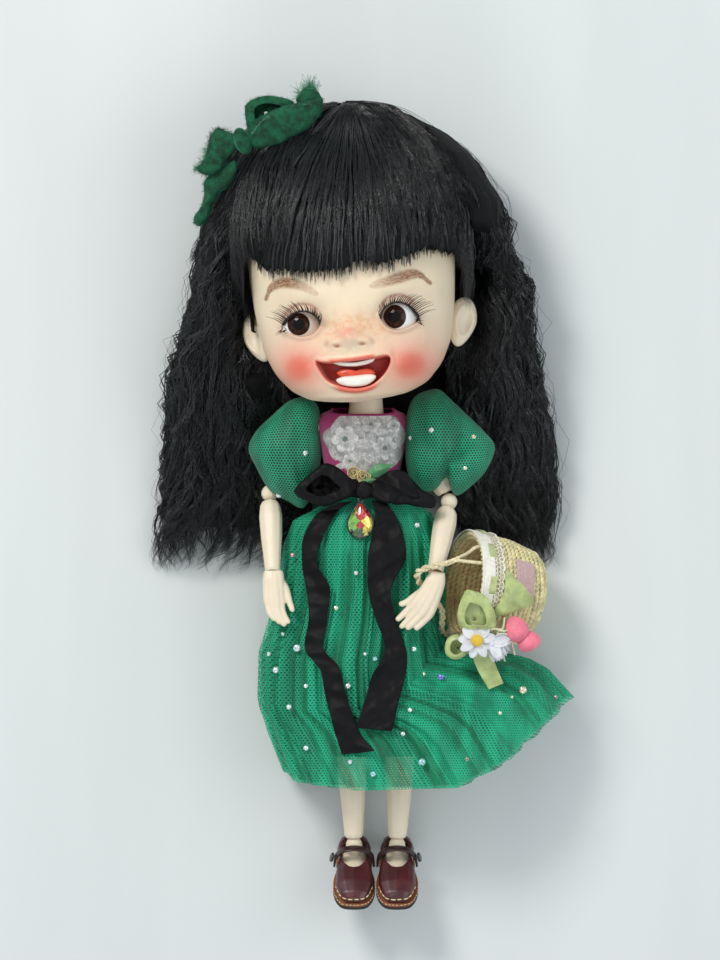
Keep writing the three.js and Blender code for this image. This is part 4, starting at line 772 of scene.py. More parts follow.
def eye_look(side, iris, radius):
    look = Look(f"eye_{side}", "EDEAE6", 0.12, Specular_IOR_Level=0.1, Coat_Weight=0.3, Coat_Roughness=0.015)
    at = look.node("SeparateXYZ", {0: look.coords.outputs["Object"]}, 0).node
    dx = look.math("SUBTRACT", at.outputs[0], iris[0] * MM)
    dy = look.math("SUBTRACT", at.outputs[1], iris[1] * MM)
    away = look.math("SQRT", look.math("ADD", look.math("MULTIPLY", dx, dx), look.math("MULTIPLY", dy, dy)))
    away = look.math("DIVIDE", away, radius * MM)
    ray = look.node("Math", {0: dy, 1: dx}, operation="ARCTAN2")
    polar = look.node("CombineXYZ", {0: ray, 1: look.math("MULTIPLY", away, 0.4)})
    spokes = look.node("TexNoise", {"Vector": polar, "Scale": 9.0, "Detail": 3.0}, 0)
    look.tint(look.band(look.noise(4), 0.45, 0.75, 0, 0.25), "C9C3C4")
    brown = look.mix(look.band(spokes, 0.35, 0.7), "180A06", "4A2312")
    brown = look.mix(look.band(away, 0.5, 0.95), brown, look.mix(look.band(away, 0.86, 1.0), brown, "1A0A06"))
    look.colour = look.mix(look.band(away, 1.03, 0.96), look.colour, brown)
    look.tint(look.band(away, 0.56, 0.48), (0.004, 0.003, 0.003))
    return look.done()


for side, iris, radius in SIDE_EYES:
    low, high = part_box(f"eye_{side}")
    middle = (np.array(low) + np.array(high)) / 2 / MM
    mesh = ellipsoid_mesh(middle, (7.15, 7.15, 7.15), 64, 96)
    at = spot(*iris)
    piece(f"eyeball_{side}", mesh, eye_look(side, at, radius * PIXEL), "head", [f"eye_{side}"])


# Lashes: short tapered hairs fanned along the lids, on the lid's rim
def lashes(side):
    outline = EYE_OUTLINES[side]
    sign = -1 if side == "r" else 1
    mid_u = 301 if side == "r" else 400
    top = [p for p in outline if p[1] < (325 if side == "r" else 319)]
    top = np.array(sorted(top, key=lambda p: p[0]))
    paths, radii = [], []
    for share in np.linspace(0.02, 0.98, 36):
        at = top[int(share * (len(top) - 1))] + RNG.normal(0, 0.25, 2)
        outward = sign * (at[0] - mid_u) / 19
        lean = 0.9 * (at[0] - mid_u) / 19 + 0.22 * sign
        length = (11 + 5.5 * smoothstep(-0.4, 0.9, np.array(outward))) * RNG.uniform(0.65, 1.12)
        z = face_height(*at) + 1.4
        t = np.linspace(0, 1, 9)[:, None]
        way = np.array([lean, -1.0])
        way = way / np.hypot(*way)
        bend = np.array([sign * 0.55, 0.35])
        uv = at + (way * t + bend * t * t * 0.55) * length
        paths.append(lifted(uv, z + 3.4 * np.sin(t[:, 0] * 1.3)))
        radii.append(0.21 * (1 - 0.75 * t[:, 0]) * RNG.uniform(0.8, 1.15))
    corner = outline[np.argmin(outline[:, 0] * -sign)] + np.array([0, 0.5])
    for _ in range(9):
        at = corner + np.array([-sign * RNG.uniform(0, 5), RNG.uniform(0.5, 3.5)])
        z = face_height(*at) + 0.8
        t = np.linspace(0, 1, 9)[:, None]
        way = np.array([sign * RNG.uniform(0.6, 1.0), RNG.uniform(-0.25, 0.95)])
        uv = at + way * t * RNG.uniform(5, 9) + np.array([0, -1.6]) * t * t
        paths.append(lifted(uv, z + 0.6 + 1.6 * t[:, 0]))
        radii.append(0.15 * (1 - 0.85 * t[:, 0]))
    hairs = tubes_mesh(np.array(paths), np.array(radii), 4)
    line = curve(top[:: max(1, len(top) // 12)], 40)
    if sign < 0:
        line = line[::-1]
    t = np.linspace(0, 1, 40)
    z = np.array([face_height(*p) for p in line]) + 0.75
    rim = tubes_mesh(lifted(line, z)[None], (0.16 + 0.42 * smoothstep(0.55, 0.95, t))[None], 6)
    return joined([hairs, rim])


LASH = Look("lash", "17110F", 0.5).mottle(1, 0.7, 1.2).done()
for side in "rl":
    piece(f"lashes_{side}", lashes(side), LASH, "head")

# Teeth and tongue

TOOTH = Look("tooth", "F3EEE2", 0.2, Coat_Weight=0.6, Coat_Roughness=0.1, Subsurface_Weight=0.1,
             Subsurface_Scale=0.002).mottle(2.5, 0.94, 1.02).grain(0.12, 0.35, 1.6, 2).done()
FLESH = Look("tongue", "DF5433", 0.32, Coat_Weight=0.3, Coat_Roughness=0.25, Subsurface_Weight=0.15,
             Subsurface_Scale=0.002).mottle(2, 0.8, 1.1).grain(0.08, 0.5, 0.7, 2).done()


def mouth_pad(outline, drop, crown):
    rows = 10
    edge = curve(outline, 72, True)
    middle = edge.mean(0)
    z = face_height(353, 372)
    rings = []
    for k in range(rows + 1):
        t = k / rows * math.pi / 2
        shrink, rise = math.cos(t) ** 0.7 if k < rows else 0.001, math.sin(t)
        uv = middle + (edge - middle) * max(shrink, 0.001)
        rings.append(lifted(uv, np.full(len(uv), z - drop + crown * rise)))
    low = rings[0] - np.array([0, 0, 1.6])
    return sheet_mesh(np.array([low] + rings), True)


MOUTH_PIECES = (
    ("front_teeth", TOOTH, "upper_teeth", "teeth", 2.6, 1.9,
     [(332, 362.2), (344, 362.6), (357, 361.6), (368, 359.8), (374.6, 358.4), (373, 361.6), (366, 364.6),
      (356, 366.4), (346, 366.4), (338, 365.2)]),
    ("tongue_pad", FLESH, "tongue", "tongue", 4.0, 1.9,
     [(337, 374), (339, 370.6), (345, 369), (352, 369.6), (356, 370.6), (360, 369.4), (368, 368.6),
      (373.4, 370.4), (375, 374), (366, 377.4), (346, 378.4)]),
    ("lower_row", TOOTH, "lower_teeth", "teeth", 2.7, 2.2,
     [(336.4, 379.4), (343, 376.6), (356, 375.2), (369, 374), (375.8, 375.6), (374.4, 380), (367, 385),
      (356, 386.8), (345, 386), (338, 383)]),
)
for name, look, node, slot, drop, crown, outline in MOUTH_PIECES:
    piece(name, mouth_pad(outline, drop, crown), look, "head", [node])


# Hair: strands gathered in waving locks

HAIR_FLOOR = 0.4


# Centres is locks x points x 3. Each lock becomes count strands that share its waves; wave is their
# [height, length]
def strands(centres, spread, count, width, length_jitter, wave, fine=0.25, tip=0.5):
    n, m, _ = centres.shape
    t = np.linspace(0, 1, m)
    steps = np.linalg.norm(np.diff(centres, axis=1), axis=2)
    run = np.concatenate([np.zeros((n, 1)), np.cumsum(steps, 1)], 1)
    tangent = unit(np.gradient(centres, axis=1))
    side = unit(np.cross(tangent, np.array([0.01, 0.02, 1.0])))
    rise = np.cross(side, tangent)
    calm = smoothstep(0.1, 0.55, t)[None]
    phase = RNG.uniform(0, LAP, (n, 1))
    pitch = wave[1] * RNG.uniform(0.8, 1.25, (n, 1))
    sway = np.sin(run / pitch * LAP + phase) + 0.5 * np.sin(run / pitch * 11.3 + phase * 1.7)
    lift = np.cos(run / pitch * LAP + phase * 1.3)
    amount = wave[0] * RNG.uniform(0.5, 1.4, (n, 1)) * calm
    centre = centres + side * (sway * amount)[..., None] + rise * (lift * amount * 0.6)[..., None]
    angle = RNG.uniform(0, LAP, (n, count, 1))
    reach = np.sqrt(RNG.uniform(0, 1, (n, count, 1))) * spread * RNG.uniform(0.7, 1.3, (n, 1, 1))
    twist = angle + RNG.normal(0, 1.2, (n, count, 1)) * t + RNG.uniform(-2, 2, (n, 1, 1)) * t
    open_up = 0.55 + 0.3 * np.sin(run / pitch * 3.1 + phase)[:, None] + tip * t[None, None] ** 2
    open_up = np.maximum(open_up, 0.1)
    beat = run[:, None] / RNG.uniform(10, 22, (n, count, 1)) * LAP + RNG.uniform(0, LAP, (n, count, 1))
    wiggle = np.sin(beat) * fine * calm[:, None]
    across = reach * open_up * np.cos(twist) + wiggle
    along_z = reach * open_up * np.sin(twist) * 0.8 + wiggle * 0.5
    paths = centre[:, None] + side[:, None] * across[..., None] + rise[:, None] * along_z[..., None]
    paths = paths.reshape(n * count, m, 3)
    stop = 1 - np.repeat(np.abs(RNG.normal(0, length_jitter, (n, 1))), count, 0)
    stop = stop - 0.5 * np.abs(RNG.normal(0, length_jitter, (n * count, 1)))
    u = np.clip(t[None] * np.clip(stop, 0.3, 1), 0, 1) * (m - 1)
    i = np.minimum(u.astype(int), m - 2)
    f = (u - i)[..., None]
    k = np.arange(n * count)[:, None]
    paths = paths[k, i] * (1 - f) + paths[k, i + 1] * f
    paths[..., 2] = np.maximum(paths[..., 2], HAIR_FLOOR)
    taper = np.clip((1 - t) / 0.18, 0.12, 1)
    radii = width * taper * RNG.uniform(0.7, 1.25, (n * count, 1))
    return tubes_mesh(paths, radii, 3)


def hair(name, *locks, **ends):
    piece(name, strands(*locks, **ends), HAIR, "head")


LOCKS = {
    "r": np.array([[190, -9, -12, 36], [187.5, -11, -18, 40], [181, -13, -28, 43], [171, -16, -38, 46],
                   [158, -20, -48, 46], [143, -24, -60, 42], [121, -30, -64, 36], [97, -33, -71, 28],
                   [66, -29, -74, 16], [47, -21, -75.5, 13], [33, -24, -78.5, 10], [24, -38, -76, 6]],
                  float),
    "l": np.array([[190, -6, -2, 36], [188, -1, 10, 40], [182, 4, 23, 43], [174, 9, 34, 46],
                   [158, 14, 45.5, 46], [136, 20, 52, 42], [121, 26, 57.5, 36], [97, 29, 60, 28],
                   [78, 28, 65, 21], [54, 26, 67.5, 15], [36, 34, 66, 9], [25, 44, 64.5, 5]], float),
}


FACE_MIDDLE, FACE_EDGE = -2.5, 40.5


# How far places are beyond the face's edge, and how much they are at the height of the ears
def by_the_ear(x, y):
    beyond = np.maximum(np.abs(x - FACE_MIDDLE) - FACE_EDGE, 0)
    return beyond, smoothstep(150, 138, y) * smoothstep(92, 100, y)


# The middle lines of locks through one side's hair: share across it, and depth in it
def side_locks(side, across, depth, points):
    rows = LOCKS[side]
    s, d = across[:, None], depth[:, None]
    x = rows[None, :, 1] * (1 - s) + rows[None, :, 2] * s
    room = np.clip(1 - np.abs(2 * s - 1) ** 3, 0.05, 1)
    z = 0.6 + rows[None, :, 3] * (0.5 + (d - 0.5) * room)
    y = np.repeat(rows[None, :, 0], len(across), 0)
    beyond, behind_ear = by_the_ear(x, y)
    z = np.where(behind_ear > 0, z * (1 - behind_ear) + np.minimum(z, 15 + 2.3 * beyond) * behind_ear, z)
    guide = np.stack([x, y, z], -1)
    return np.array([curve(g, points) for g in guide])


SHADE = Look("hair_shade", "070708", 0.8, Specular_IOR_Level=0.25)
SHADE = SHADE.grain(0.5, 0.8, 0.6, 3, stretch=(1, 0.07, 1)).done()


# The dense middle of the hair, drawn in from the ragged ends and from the face
def shrunk_core(node):
    mesh = softened(node, 1.6, 4, -0.7)
    points = mesh_points(mesh)
    points[:, 1] += 16 * smoothstep(58, 22, points[:, 1])
    points[:, 2] *= 1 - 0.35 * smoothstep(110, 50, points[:, 1])
    beyond, behind_ear = by_the_ear(points[:, 0], points[:, 1])
    low = np.minimum(points[:, 2], 13 + 1.7 * beyond)
    points[:, 2] = np.maximum(points[:, 2] * (1 - behind_ear) + low * behind_ear, 2.2)
    return move_points(mesh, points)


for side in "rl":
    piece(f"hair_core_{side}", shrunk_core(f"hair_{side}"), SHADE, "head", [f"hair_{side}"])
    locks = 96
    across = np.concatenate([np.linspace(0.02, 0.93, locks) + RNG.normal(0, 0.02, locks),
                             RNG.uniform(0.86, 0.95, 14)])
    depth = np.concatenate([RNG.uniform(0.62, 1.0, locks), RNG.uniform(0.2, 0.8, 14)])
    main = side_locks(side, np.clip(across, 0, 1), depth, 41)
    hair(f"hair_{side}_locks", main, 2.0, 15, 0.19, 0.09, (2.7, 23), tip=0.0)
    under = side_locks(side, RNG.uniform(0, 1, 60), RNG.uniform(0.0, 0.6, 60), 38)
    hair(f"hair_{side}_under", under, 2.2, 12, 0.22, 0.19, (2.3, 21))
    loose = side_locks(side, RNG.uniform(0.0, 1.02, 110), RNG.uniform(0.7, 1.05, 110), 44)
    hair(f"hair_{side}_fly", loose, 3.4, 3, 0.08, 0.14, (2.6, 21), 0.6)
    rear = side_locks(side, np.linspace(0.02, 0.98, 64), RNG.uniform(0, 0.05, 64), 38)
    hair(f"hair_{side}_rear", rear, 1.5, 11, 0.24, 0.1, (1.5, 22), tip=0.0)

piece("hair_core_back", shrunk_core("hair_back"), SHADE, "head", ["hair_back"])
low, high = (np.array(corner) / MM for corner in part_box("hair_back"))
x = np.linspace(low[0] + 1, high[0] - 1, 46)[:, None]
y = np.linspace(high[1] - 1, low[1] + 2, 34)[None]
rear = np.stack([x + 0 * y, y + 0 * x, 1.3 + 0 * (x + y)], -1)
hair("hair_back_rear", rear, 1.5, 12, 0.24, 0.08, (1.3, 22), tip=0.0)


# Hair over the head: each lock runs down from the crown to its place on the hairline

FRINGE_EDGE = np.array([(254, 264), (260, 276), (267, 281), (285, 281), (302, 284), (320, 283), (335, 282),
                        (347, 281), (355, 274), (362, 273), (378, 276), (392, 272), (404, 268), (415, 264),
                        (424, 258), (433, 255), (446, 259), (457, 261)], float)


DOME_TOP = 0.9995
FRINGE_GAPS = ((265, 2.4), (288, 2.2), (309, 1.2), (353, 2.0), (379, 1.6), (436, 1.4))


def dome_paths(angles, ends, lifts, points):
    t = np.linspace(0, 1, points)[None] ** 1.9
    heights = DOME_TOP + (ends[:, None] - DOME_TOP) * t
    grow = lifts[:, None] + (4.6 - lifts[:, None]) * smoothstep(0.35, 0, t) - 0.8 * smoothstep(0.75, 1.0, t)
    local = head_surface(angles[:, None] + 0 * t, heights, grow)
    return out_of_head(local.reshape(-1, 3)).reshape(len(angles), points, 3)


# Places over the forehead seen from the front, at a lift from the head
def dome_points(u, v, lift):
    x, y = (u - ORIGIN_U) * PIXEL, (ORIGIN_V - v) * PIXEL
    z = np.full(np.shape(u), 60.0)
    for _ in range(10):
        local = into_head(np.stack([x, y, z], -1).reshape(-1, 3)).reshape(*np.shape(u), 3)
        height = np.clip(local[..., 1] / (HEAD_HEIGHT + lift), 0, DOME_TOP)
        rows = head_rows(height)
        shrink = np.sqrt(1 - (1 - np.clip((1 - height) / 0.04, 0, 1)) ** 2)
        width = (rows[..., 0] * HEAD_HALF_WIDTH + lift) * shrink
        rest = np.clip(1 - np.abs(local[..., 0] / width) ** HEAD_POWER, 1e-4, 1)
        front, back = rows[..., 1] * FACE_REACH + lift, rows[..., 2] * SKULL_REACH + lift
        local[..., 2] = (front - back) / 2 + (front + back) / 2 * shrink * rest ** (1 / HEAD_POWER)
        z = out_of_head(local.reshape(-1, 3)).reshape(*np.shape(u), 3)[..., 2]
    return np.stack([x, y, z], -1)


WHORL = (351, 106)


# Locks that fan out of the whorl and turn down to their ends on the forehead
def fringe_paths(ends, lifts):
    t = np.linspace(0, 1, 34)[None]
    u0 = WHORL[0] + 0.07 * (ends[:, :1] - WHORL[0])
    u = u0 + (ends[:, :1] - u0) * np.sin(t * math.pi / 2) ** 0.92
    v = WHORL[1] + (ends[:, 1:] - WHORL[1]) * t**1.12
    lift = lifts[:, None] * (1 - 0.3 * smoothstep(0.6, 1, t)) + 1.0 * smoothstep(0.15, 0, t)
    return dome_points(u, v, lift)


def fringe_ends(count):
    u = np.linspace(254.5, 456.5, count) + RNG.normal(0, 0.8, count)
    for gap, wide in FRINGE_GAPS:
        u = u + np.sign(u - gap) * wide * np.exp(-(((u - gap) / (1.6 * wide)) ** 2))
    v = np.interp(u, FRINGE_EDGE[:, 0], FRINGE_EDGE[:, 1]) - np.abs(RNG.normal(0, 3.6, count)) + 2.6
    return np.stack([u, v], -1)


fringe = fringe_paths(fringe_ends(210), RNG.uniform(3.0, 4.9, 210))
hair("fringe_locks", fringe, 1.25, 17, 0.17, 0.03, (0.35, 26), 0.1, tip=-0.42)


# The dense layer under the strands stops short of their tips
def short_core(mesh, margin):
    points = mesh_points(mesh)
    uv = as_pixels(points)
    edge = np.interp(uv[:, 0], FRINGE_EDGE[:, 0], FRINGE_EDGE[:, 1]) - margin + 2 * np.sin(uv[:, 0] * 0.9)
    over = np.maximum(uv[:, 1] - edge, 0) * (points[:, 2] > 30) * (np.abs(points[:, 0] + 5) < 40)
    points[:, 1] += over * PIXEL * 0.93
    points[:, 2] -= 0.25 * np.minimum(over, 6)
    return move_points(mesh, points)


piece("fringe_core", short_core(softened("hair_fringe", 0.9, 6, -1.4), 13), SHADE, "head", ["hair_fringe"])
piece("crown_core", short_core(softened("hair_crown", 0.9, 6, -1.8), 9), SHADE, "head", ["hair_crown"])

side_angles = np.concatenate([np.radians(np.linspace(-26, 66, 100)), np.radians(np.linspace(114, 206, 100))])
ahead = np.sin(side_angles)
side_ends = 0.29 + 0.11 * smoothstep(-0.1, 0.1, ahead) + 0.11 * smoothstep(0.1, 0.35, ahead)
side_ends = side_ends + 0.04 * smoothstep(0.6, 0.9, ahead) + RNG.normal(0, 0.015, len(side_angles))
crown = dome_paths(side_angles + RNG.normal(0, 0.02, len(side_angles)), side_ends,
                   RNG.uniform(3.6, 5.6, len(side_angles)), 30)
hair("crown_locks", crown, 1.4, 14, 0.17, 0.04, (0.5, 22), 0.12)
back_angles = np.radians(np.linspace(205, 335, 70))
back = dome_paths(back_angles, 0.2 + RNG.uniform(-0.03, 0.03, 70), RNG.uniform(2.6, 4.2, 70), 20)
hair("nape_locks", back, 1.6, 10, 0.2, 0.05, (0.3, 22), 0.1)

CAP_NET = Look("cap_net", "141214", 0.8)
CAP_NET.bump(CAP_NET.cells(1.1, "DISTANCE_TO_EDGE"), 0.2, 0.8)
CAP_NET.mottle(3, 0.6, 1.5)
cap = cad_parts["wig_cap"]
cap_mesh = cap.data.copy()
cap_mesh.transform(cap.matrix_world)
cap_mesh.materials.clear()
piece("cap_net", short_core(cap_mesh, 26), CAP_NET.done(), "head", ["wig_cap"])


# Body: rounded copies of the jointed pieces

JOINTED = {"shoulder_ball": "shoulder", "upper_arm": "upper_arm", "elbow_ball": "upper_arm",
           "forearm": "forearm", "hand": "hand", "hip_ball": "hip", "thigh": "thigh", "knee_ball": "thigh",
           "shin": "shin", "foot": "foot"}
BODY_PIECES = {"torso": "torso", "neck": "neck"}
BODY_PIECES.update({f"{part}_{side}": f"{body}_{side}" for side in "rl" for part, body in JOINTED.items()})

# Hands seen from the front, in photo pixels: bones from the wrist through the knuckles to the tips, with
# the height of the wrist and of the tips from the middle of the CAD hand
HANDS = {
    "r": ([[(269.5, 571), (268.6, 583), (268.2, 600), (269.8, 612), (276, 620.5)],
           [(272, 571), (271.8, 583), (272.2, 601), (274.2, 613.5), (281, 624)],
           [(275, 571), (275, 583), (276.6, 601), (279, 614), (285.2, 626.6)],
           [(277.5, 571), (278.4, 583), (280.6, 600), (283, 613), (289.2, 623.6)]],
          [(275, 574), (280, 582), (286, 591), (289.6, 602), (293, 611.6)], (-1.7, 1.7)),
    "l": ([[(436, 571), (429.5, 584), (415.5, 602), (405, 612.5), (396.2, 620.8)],
           [(437, 571), (432.5, 585), (420, 606), (409.5, 618.5), (400, 628)],
           [(438, 571.5), (435.6, 586), (425, 609.5), (414.5, 621.5), (406.4, 629.4)],
           [(439.5, 572), (438.2, 587), (430, 612.5), (422, 623), (414.6, 629.6)]],
          [(433, 579), (424, 591), (412.5, 598.5), (405.5, 602.6), (399, 604.6)], (0.9, -0.9)),
}


def hand_mesh(side):
    bones, thumb, (near, far) = HANDS[side]
    low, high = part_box(f"hand_{side}")
    middle = (low[2] + high[2]) / 2 / MM
    t = np.linspace(0, 1, 60)
    girth = np.interp(t, [0, 0.02, 0.2, 0.5, 0.62, 0.8, 0.94, 0.985, 1],
                      [0.02, 2, 2.3, 1.75, 1.25, 1.16, 0.98, 0.6, 0.02])
    thumb_girth = np.interp(t, [0, 0.03, 0.35, 0.6, 0.92, 0.985, 1], [0.02, 1.9, 1.8, 1.3, 1.02, 0.6, 0.02])
    paths, radii = [], []
    for k, bone in enumerate([*bones, thumb]):
        arch = 0.5 - 0.35 * (k - 1.5) ** 2 if k < 4 else -1.2
        path = curve(spots(bone), 60)
        path[:, 2] = middle + near + (far - near) * t + arch * np.sin(math.pi * t)
        paths.append(path)
        radii.append(girth if k < 4 else thumb_girth)
    return fused(tubes_mesh(np.array(paths), np.array(radii), 16), 0.24, 4)


def neck_mesh():
    low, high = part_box("neck")
    middle = (np.array(low) + np.array(high)) / 2 / MM
    heights = np.array([low[1] / MM, low[1] / MM + 0.3, 77, 78.6, 80.4, 83, 86, high[1] / MM - 0.3,
                        high[1] / MM])
    radii = np.array([0.05, 2.6, 4.2, 5.9, 6.4, 6.1, 5.9, 5.7, 0.05])
    y = np.linspace(heights[0], heights[-1], 80)
    path = np.stack([0 * y + middle[0], y, 0 * y + middle[2]], -1)
    return tubes_mesh(path[None], np.interp(y, heights, radii)[None], 48)


for node, body in BODY_PIECES.items():
    voxel = {"torso": 0.7, "thigh": 0.6, "shin": 0.5}.get(node.split("_")[0], 0.4)
    if node.startswith("hand"):
        mesh = hand_mesh(node[-1])
    elif node == "neck":
        mesh = neck_mesh()
    else:
        mesh = softened(node, voxel, 9, -0.75 if node.startswith("elbow") else 0.12)
    piece(f"{node}_smooth", mesh, SKIN, body, [node])


# Dress

SKIRT_ROWS = np.array([
    [0, -15, 13.4, 26, 37.4, 14.6], [0.045, -15, 14, 26, 37.4, 14.6], [0.109, -27.6, 22, 22, 38.6, 10],
    [0.198, -31, 25, 17, 40, 4], [0.33, -33, 27, 15, 40.2, 0], [0.45, -36, 27.5, 14, 40.8, -2],
    [0.577, -40, 27, 13, 41.6, -2.5], [0.735, -40.5, 29, 9, 43, -2.5], [0.77, -40, 44, 8.6, 43.5, -2.5],
    [0.81, -38.5, 57, 8, 44.2, -2.5], [0.86, -37, 64, 7, 45, -2.5],
    [1, -31.5, 73.5, 8, 47, -2.5],
])
HEM_LINE = np.array([[-1, -47], [-0.9, -51], [-0.5, -54], [0.2, -53], [0.5, -45], [0.8, -31], [1, -20]],
                    float)
SKIRT_POWER, WAIST_Y = 2.4, 54


# A point of the skirt: the angle starts at the doll's left and passes over the front
def skirt_point(angle, share, out=0.0):
    cols = [np.interp(share, SKIRT_ROWS[:, 0], SKIRT_ROWS[:, k]) for k in range(1, 6)]
    right, left, edge, top, bottom = cols
    c = np.cos(angle)
    s = np.sign(np.sin(angle)) * (1 - np.abs(c) ** SKIRT_POWER) ** (1 / SKIRT_POWER)
    half = (left - right) / 2
    rise = np.where(s > 0, top - edge, edge - bottom)
    way = unit(np.stack([c / half, 0 * c, s / rise], -1))
    x = (left + right) / 2 + half * c + out * way[..., 0]
    z = np.maximum(0.3, edge + rise * s + out * way[..., 2])
    y = WAIST_Y + (np.interp(c, HEM_LINE[:, 0], HEM_LINE[:, 1]) - WAIST_Y) * share
    return np.stack([x, y, z], -1)


def skirt_cloth(reach, folds, depth, out, seed):
    rng = np.random.default_rng(seed)
    columns = 900
    angle = around(columns)[None]
    share = np.linspace(0, 1, 70)[:, None] ** 0.9
    phases = rng.uniform(0, LAP, 5)
    warped = angle + 0.05 * np.sin(angle * 5 + phases[0]) + 0.025 * np.sin(angle * 13 + phases[1])
    wave = 0.6 * np.cos(folds * warped + phases[2] + 0.4 * share)
    wave += 0.4 * np.cos(2.3 * folds * warped + phases[3] - share)
    wave += 0.18 * np.cos(5.1 * folds * warped + phases[4])
    grown = depth * smoothstep(0.0, 0.35, share)
    push = out + grown * (wave - 0.9)
    points = skirt_point(angle + 0 * share, share * reach + 0 * angle, push)
    points[..., 0] += 0.5 * depth * np.sin(folds * warped * 1.7) * share * np.sin(angle)
    calm = skirt_point(angle + 0 * share, share * reach + 0 * angle)
    arc = np.cumsum(np.linalg.norm(np.diff(calm, axis=1, prepend=calm[:, :1]), axis=2), axis=1)
    front = columns // 4
    u = arc - arc[:, front, None] - calm[:, front, None, 0]
    u[:, 3 * front:] -= arc[:, -1:]
    v = -calm[..., 1]
    return sheet_mesh(points, True, 0, np.stack([u, v], -1))


TULLE_OUTER = net_look("tulle_outer", "12AB7F", 1.04, 0.28, 0.1, None, 0.8)
TULLE_INNER = net_look("tulle_inner", "0F855E", 0.95, 0.3, 0.22, None, 0.75)
LINING = Look("skirt_satin", "0A6446", 0.55, Sheen_Weight=0.2)
LINING.mottle(11, 0.78, 1.15)
LINING.bump(LINING.wave(0.5), 0.05, 0.4)
LINING.grain(0.2, 0.4, 3, 3)
LINING = LINING.done()

piece("tulle_over", skirt_cloth(1.0, 17, 1.9, -0.1, seed=5), TULLE_OUTER, "torso", ["tulle_skirt"])
piece("tulle_under", skirt_cloth(0.99, 31, 1.2, -1.6, seed=11), TULLE_INNER, "torso")
piece("lining_cloth", skirt_cloth(0.89, 18, 1.0, -2.9, seed=2), LINING, "torso", ["skirt_lining"])

# Soft shapes shared by the dress, the bows and the flowers

FRONT = skirt_point(*np.meshgrid(np.linspace(0.03, 3.11, 260), np.linspace(0, 1, 260))).reshape(-1, 3)


# Height of the nearest of many points to each place seen from above
def heights_near(points, places):
    return np.array([points[((points[:, :2] - at) ** 2).sum(1).argmin(), 2] for at in places])


# Height of the skirt's front under places seen from above
def skirt_height(points):
    shape = np.shape(points)
    flat = np.asarray(points, float).reshape(-1, shape[-1])[:, :2]
    return heights_near(FRONT, flat).reshape(shape[:-1])


# Small waves, or sharp creases, as in a soft cloth
def rumpled(points, amount, size, seed, sharp=False, way=(0, 0, 1)):
    rng = np.random.default_rng(seed)
    total = np.zeros(points.shape[:-1])
    for _ in range(6):
        direction = unit(rng.normal(size=3) * (1, 1, 0.4))
        turns = points @ direction * 2 * math.pi / (size * rng.uniform(0.6, 1.6)) + rng.uniform(0, LAP)
        wave = 1 - 2 * np.abs(np.sin(turns / 2)) if sharp else np.sin(turns)
        total += wave * rng.uniform(0.5, 1) / 3
    return points + amount * total[..., None] * np.asarray(way, float)


# A soft lobe seen from above. Its rim follows an outline, and it swells over the front and
# under the back towards a centre, or towards the edge of a hole round that centre.
def lobe_grid(outline, centre, swell, hole=0.0, rows=22, columns=160, back=1.0, round_off=0.8):
    middle = spot(*centre)
    rim = curve(spots([(*row, centre[2])[:3] for row in outline]), columns, True)
    start = 0.1 if hole else 0.0
    phi = np.linspace(start, 0.985 if hole else 1, rows)[:, None] * math.pi
    inner = np.where(phi < math.pi / 2, hole, 0)
    blend = inner + (1 - inner) * np.sin(phi) ** round_off
    rise = np.cos(phi) * np.where(phi < math.pi / 2, swell, swell * back)
    points = middle + (rim - middle)[None] * blend[..., None]
    points[..., 2] += rise
    step = np.linalg.norm(np.diff(points, axis=0), axis=-1)
    arc = np.concatenate([np.zeros((1, columns)), np.cumsum(step, axis=0)])
    return points, unit((rim - middle)[:, :2])[None] * arc[..., None]


def lobe(name, outline, centre, swell, look, body, hole=0.0, rumple=(0.3, 6), seed=1, sharp=False,
         replaces=(), slot=None, **shape):
    points, uv = lobe_grid(outline, centre, swell, hole, **shape)
    points = rumpled(points, rumple[0], rumple[1], seed, sharp)
    return piece(name, sheet_mesh(points, True, 0.3 if hole else 0, uv), look, body, replaces)


# A flat band along a line of [x, y, z, width]
def band_grid(stations, rows, columns, across=(1, 0, 0), wander=0.0, seed=1):
    rng = np.random.default_rng(seed)
    rows_at = curve(np.asarray(stations, float), rows)
    ripple = wander * np.sin(np.linspace(0, rng.uniform(20, 30), rows) + rng.uniform(0, 6))
    side = np.linspace(-0.5, 0.5, columns)
    reach = (rows_at[:, 3] + ripple)[:, None] * side
    way = np.broadcast_to(np.asarray(across, float), (rows, 3))
    return rows_at[:, None, :3] + reach[..., None] * way[:, None]


# Plies twisted round a path
def twisted(path, radius, pitch, phase=0.0):
    tangent = unit(np.gradient(path, axis=0))
    normal = unit(np.cross(tangent[0], (0.3, 0.2, 1)))
    normals = [normal]
    for t in tangent[1:]:
        normal = unit(normal - t * (normal @ t))
        normals.append(normal)
    normals = np.array(normals)
    others = np.cross(tangent, normals)
    gone = np.concatenate([[0], np.cumsum(np.linalg.norm(np.diff(path, axis=0), axis=1))])
    angle = gone / pitch * 2 * math.pi + phase
    return np.array([
        path + radius * (np.cos(angle + k)[:, None] * normals + np.sin(angle + k)[:, None] * others)
        for k in (0, math.pi)
    ])


# Stray fibres along an edge
def fuzz(name, edge, outwards, count, length, look, body, radius, seed):
    rng = np.random.default_rng(seed)
    pick = rng.integers(0, len(edge), count)
    start = edge[pick] - outwards[pick] * 0.3
    way = unit(outwards[pick] + rng.normal(scale=(0.55, 0.55, 0.4), size=(count, 3)))
    bend = rng.normal(scale=0.35, size=(count, 3))
    share = np.linspace(0, 1, 5)[None, :, None]
    reach = (rng.uniform(0.3, 1, count) * length)[:, None, None]
    paths = start[:, None] + way[:, None] * share * reach + bend[:, None] * share**2 * reach
    paths[..., 2] = np.maximum(paths[..., 2], 0.3)
    return piece(name, tubes_mesh(paths, radius), look, body)


# Sleeves

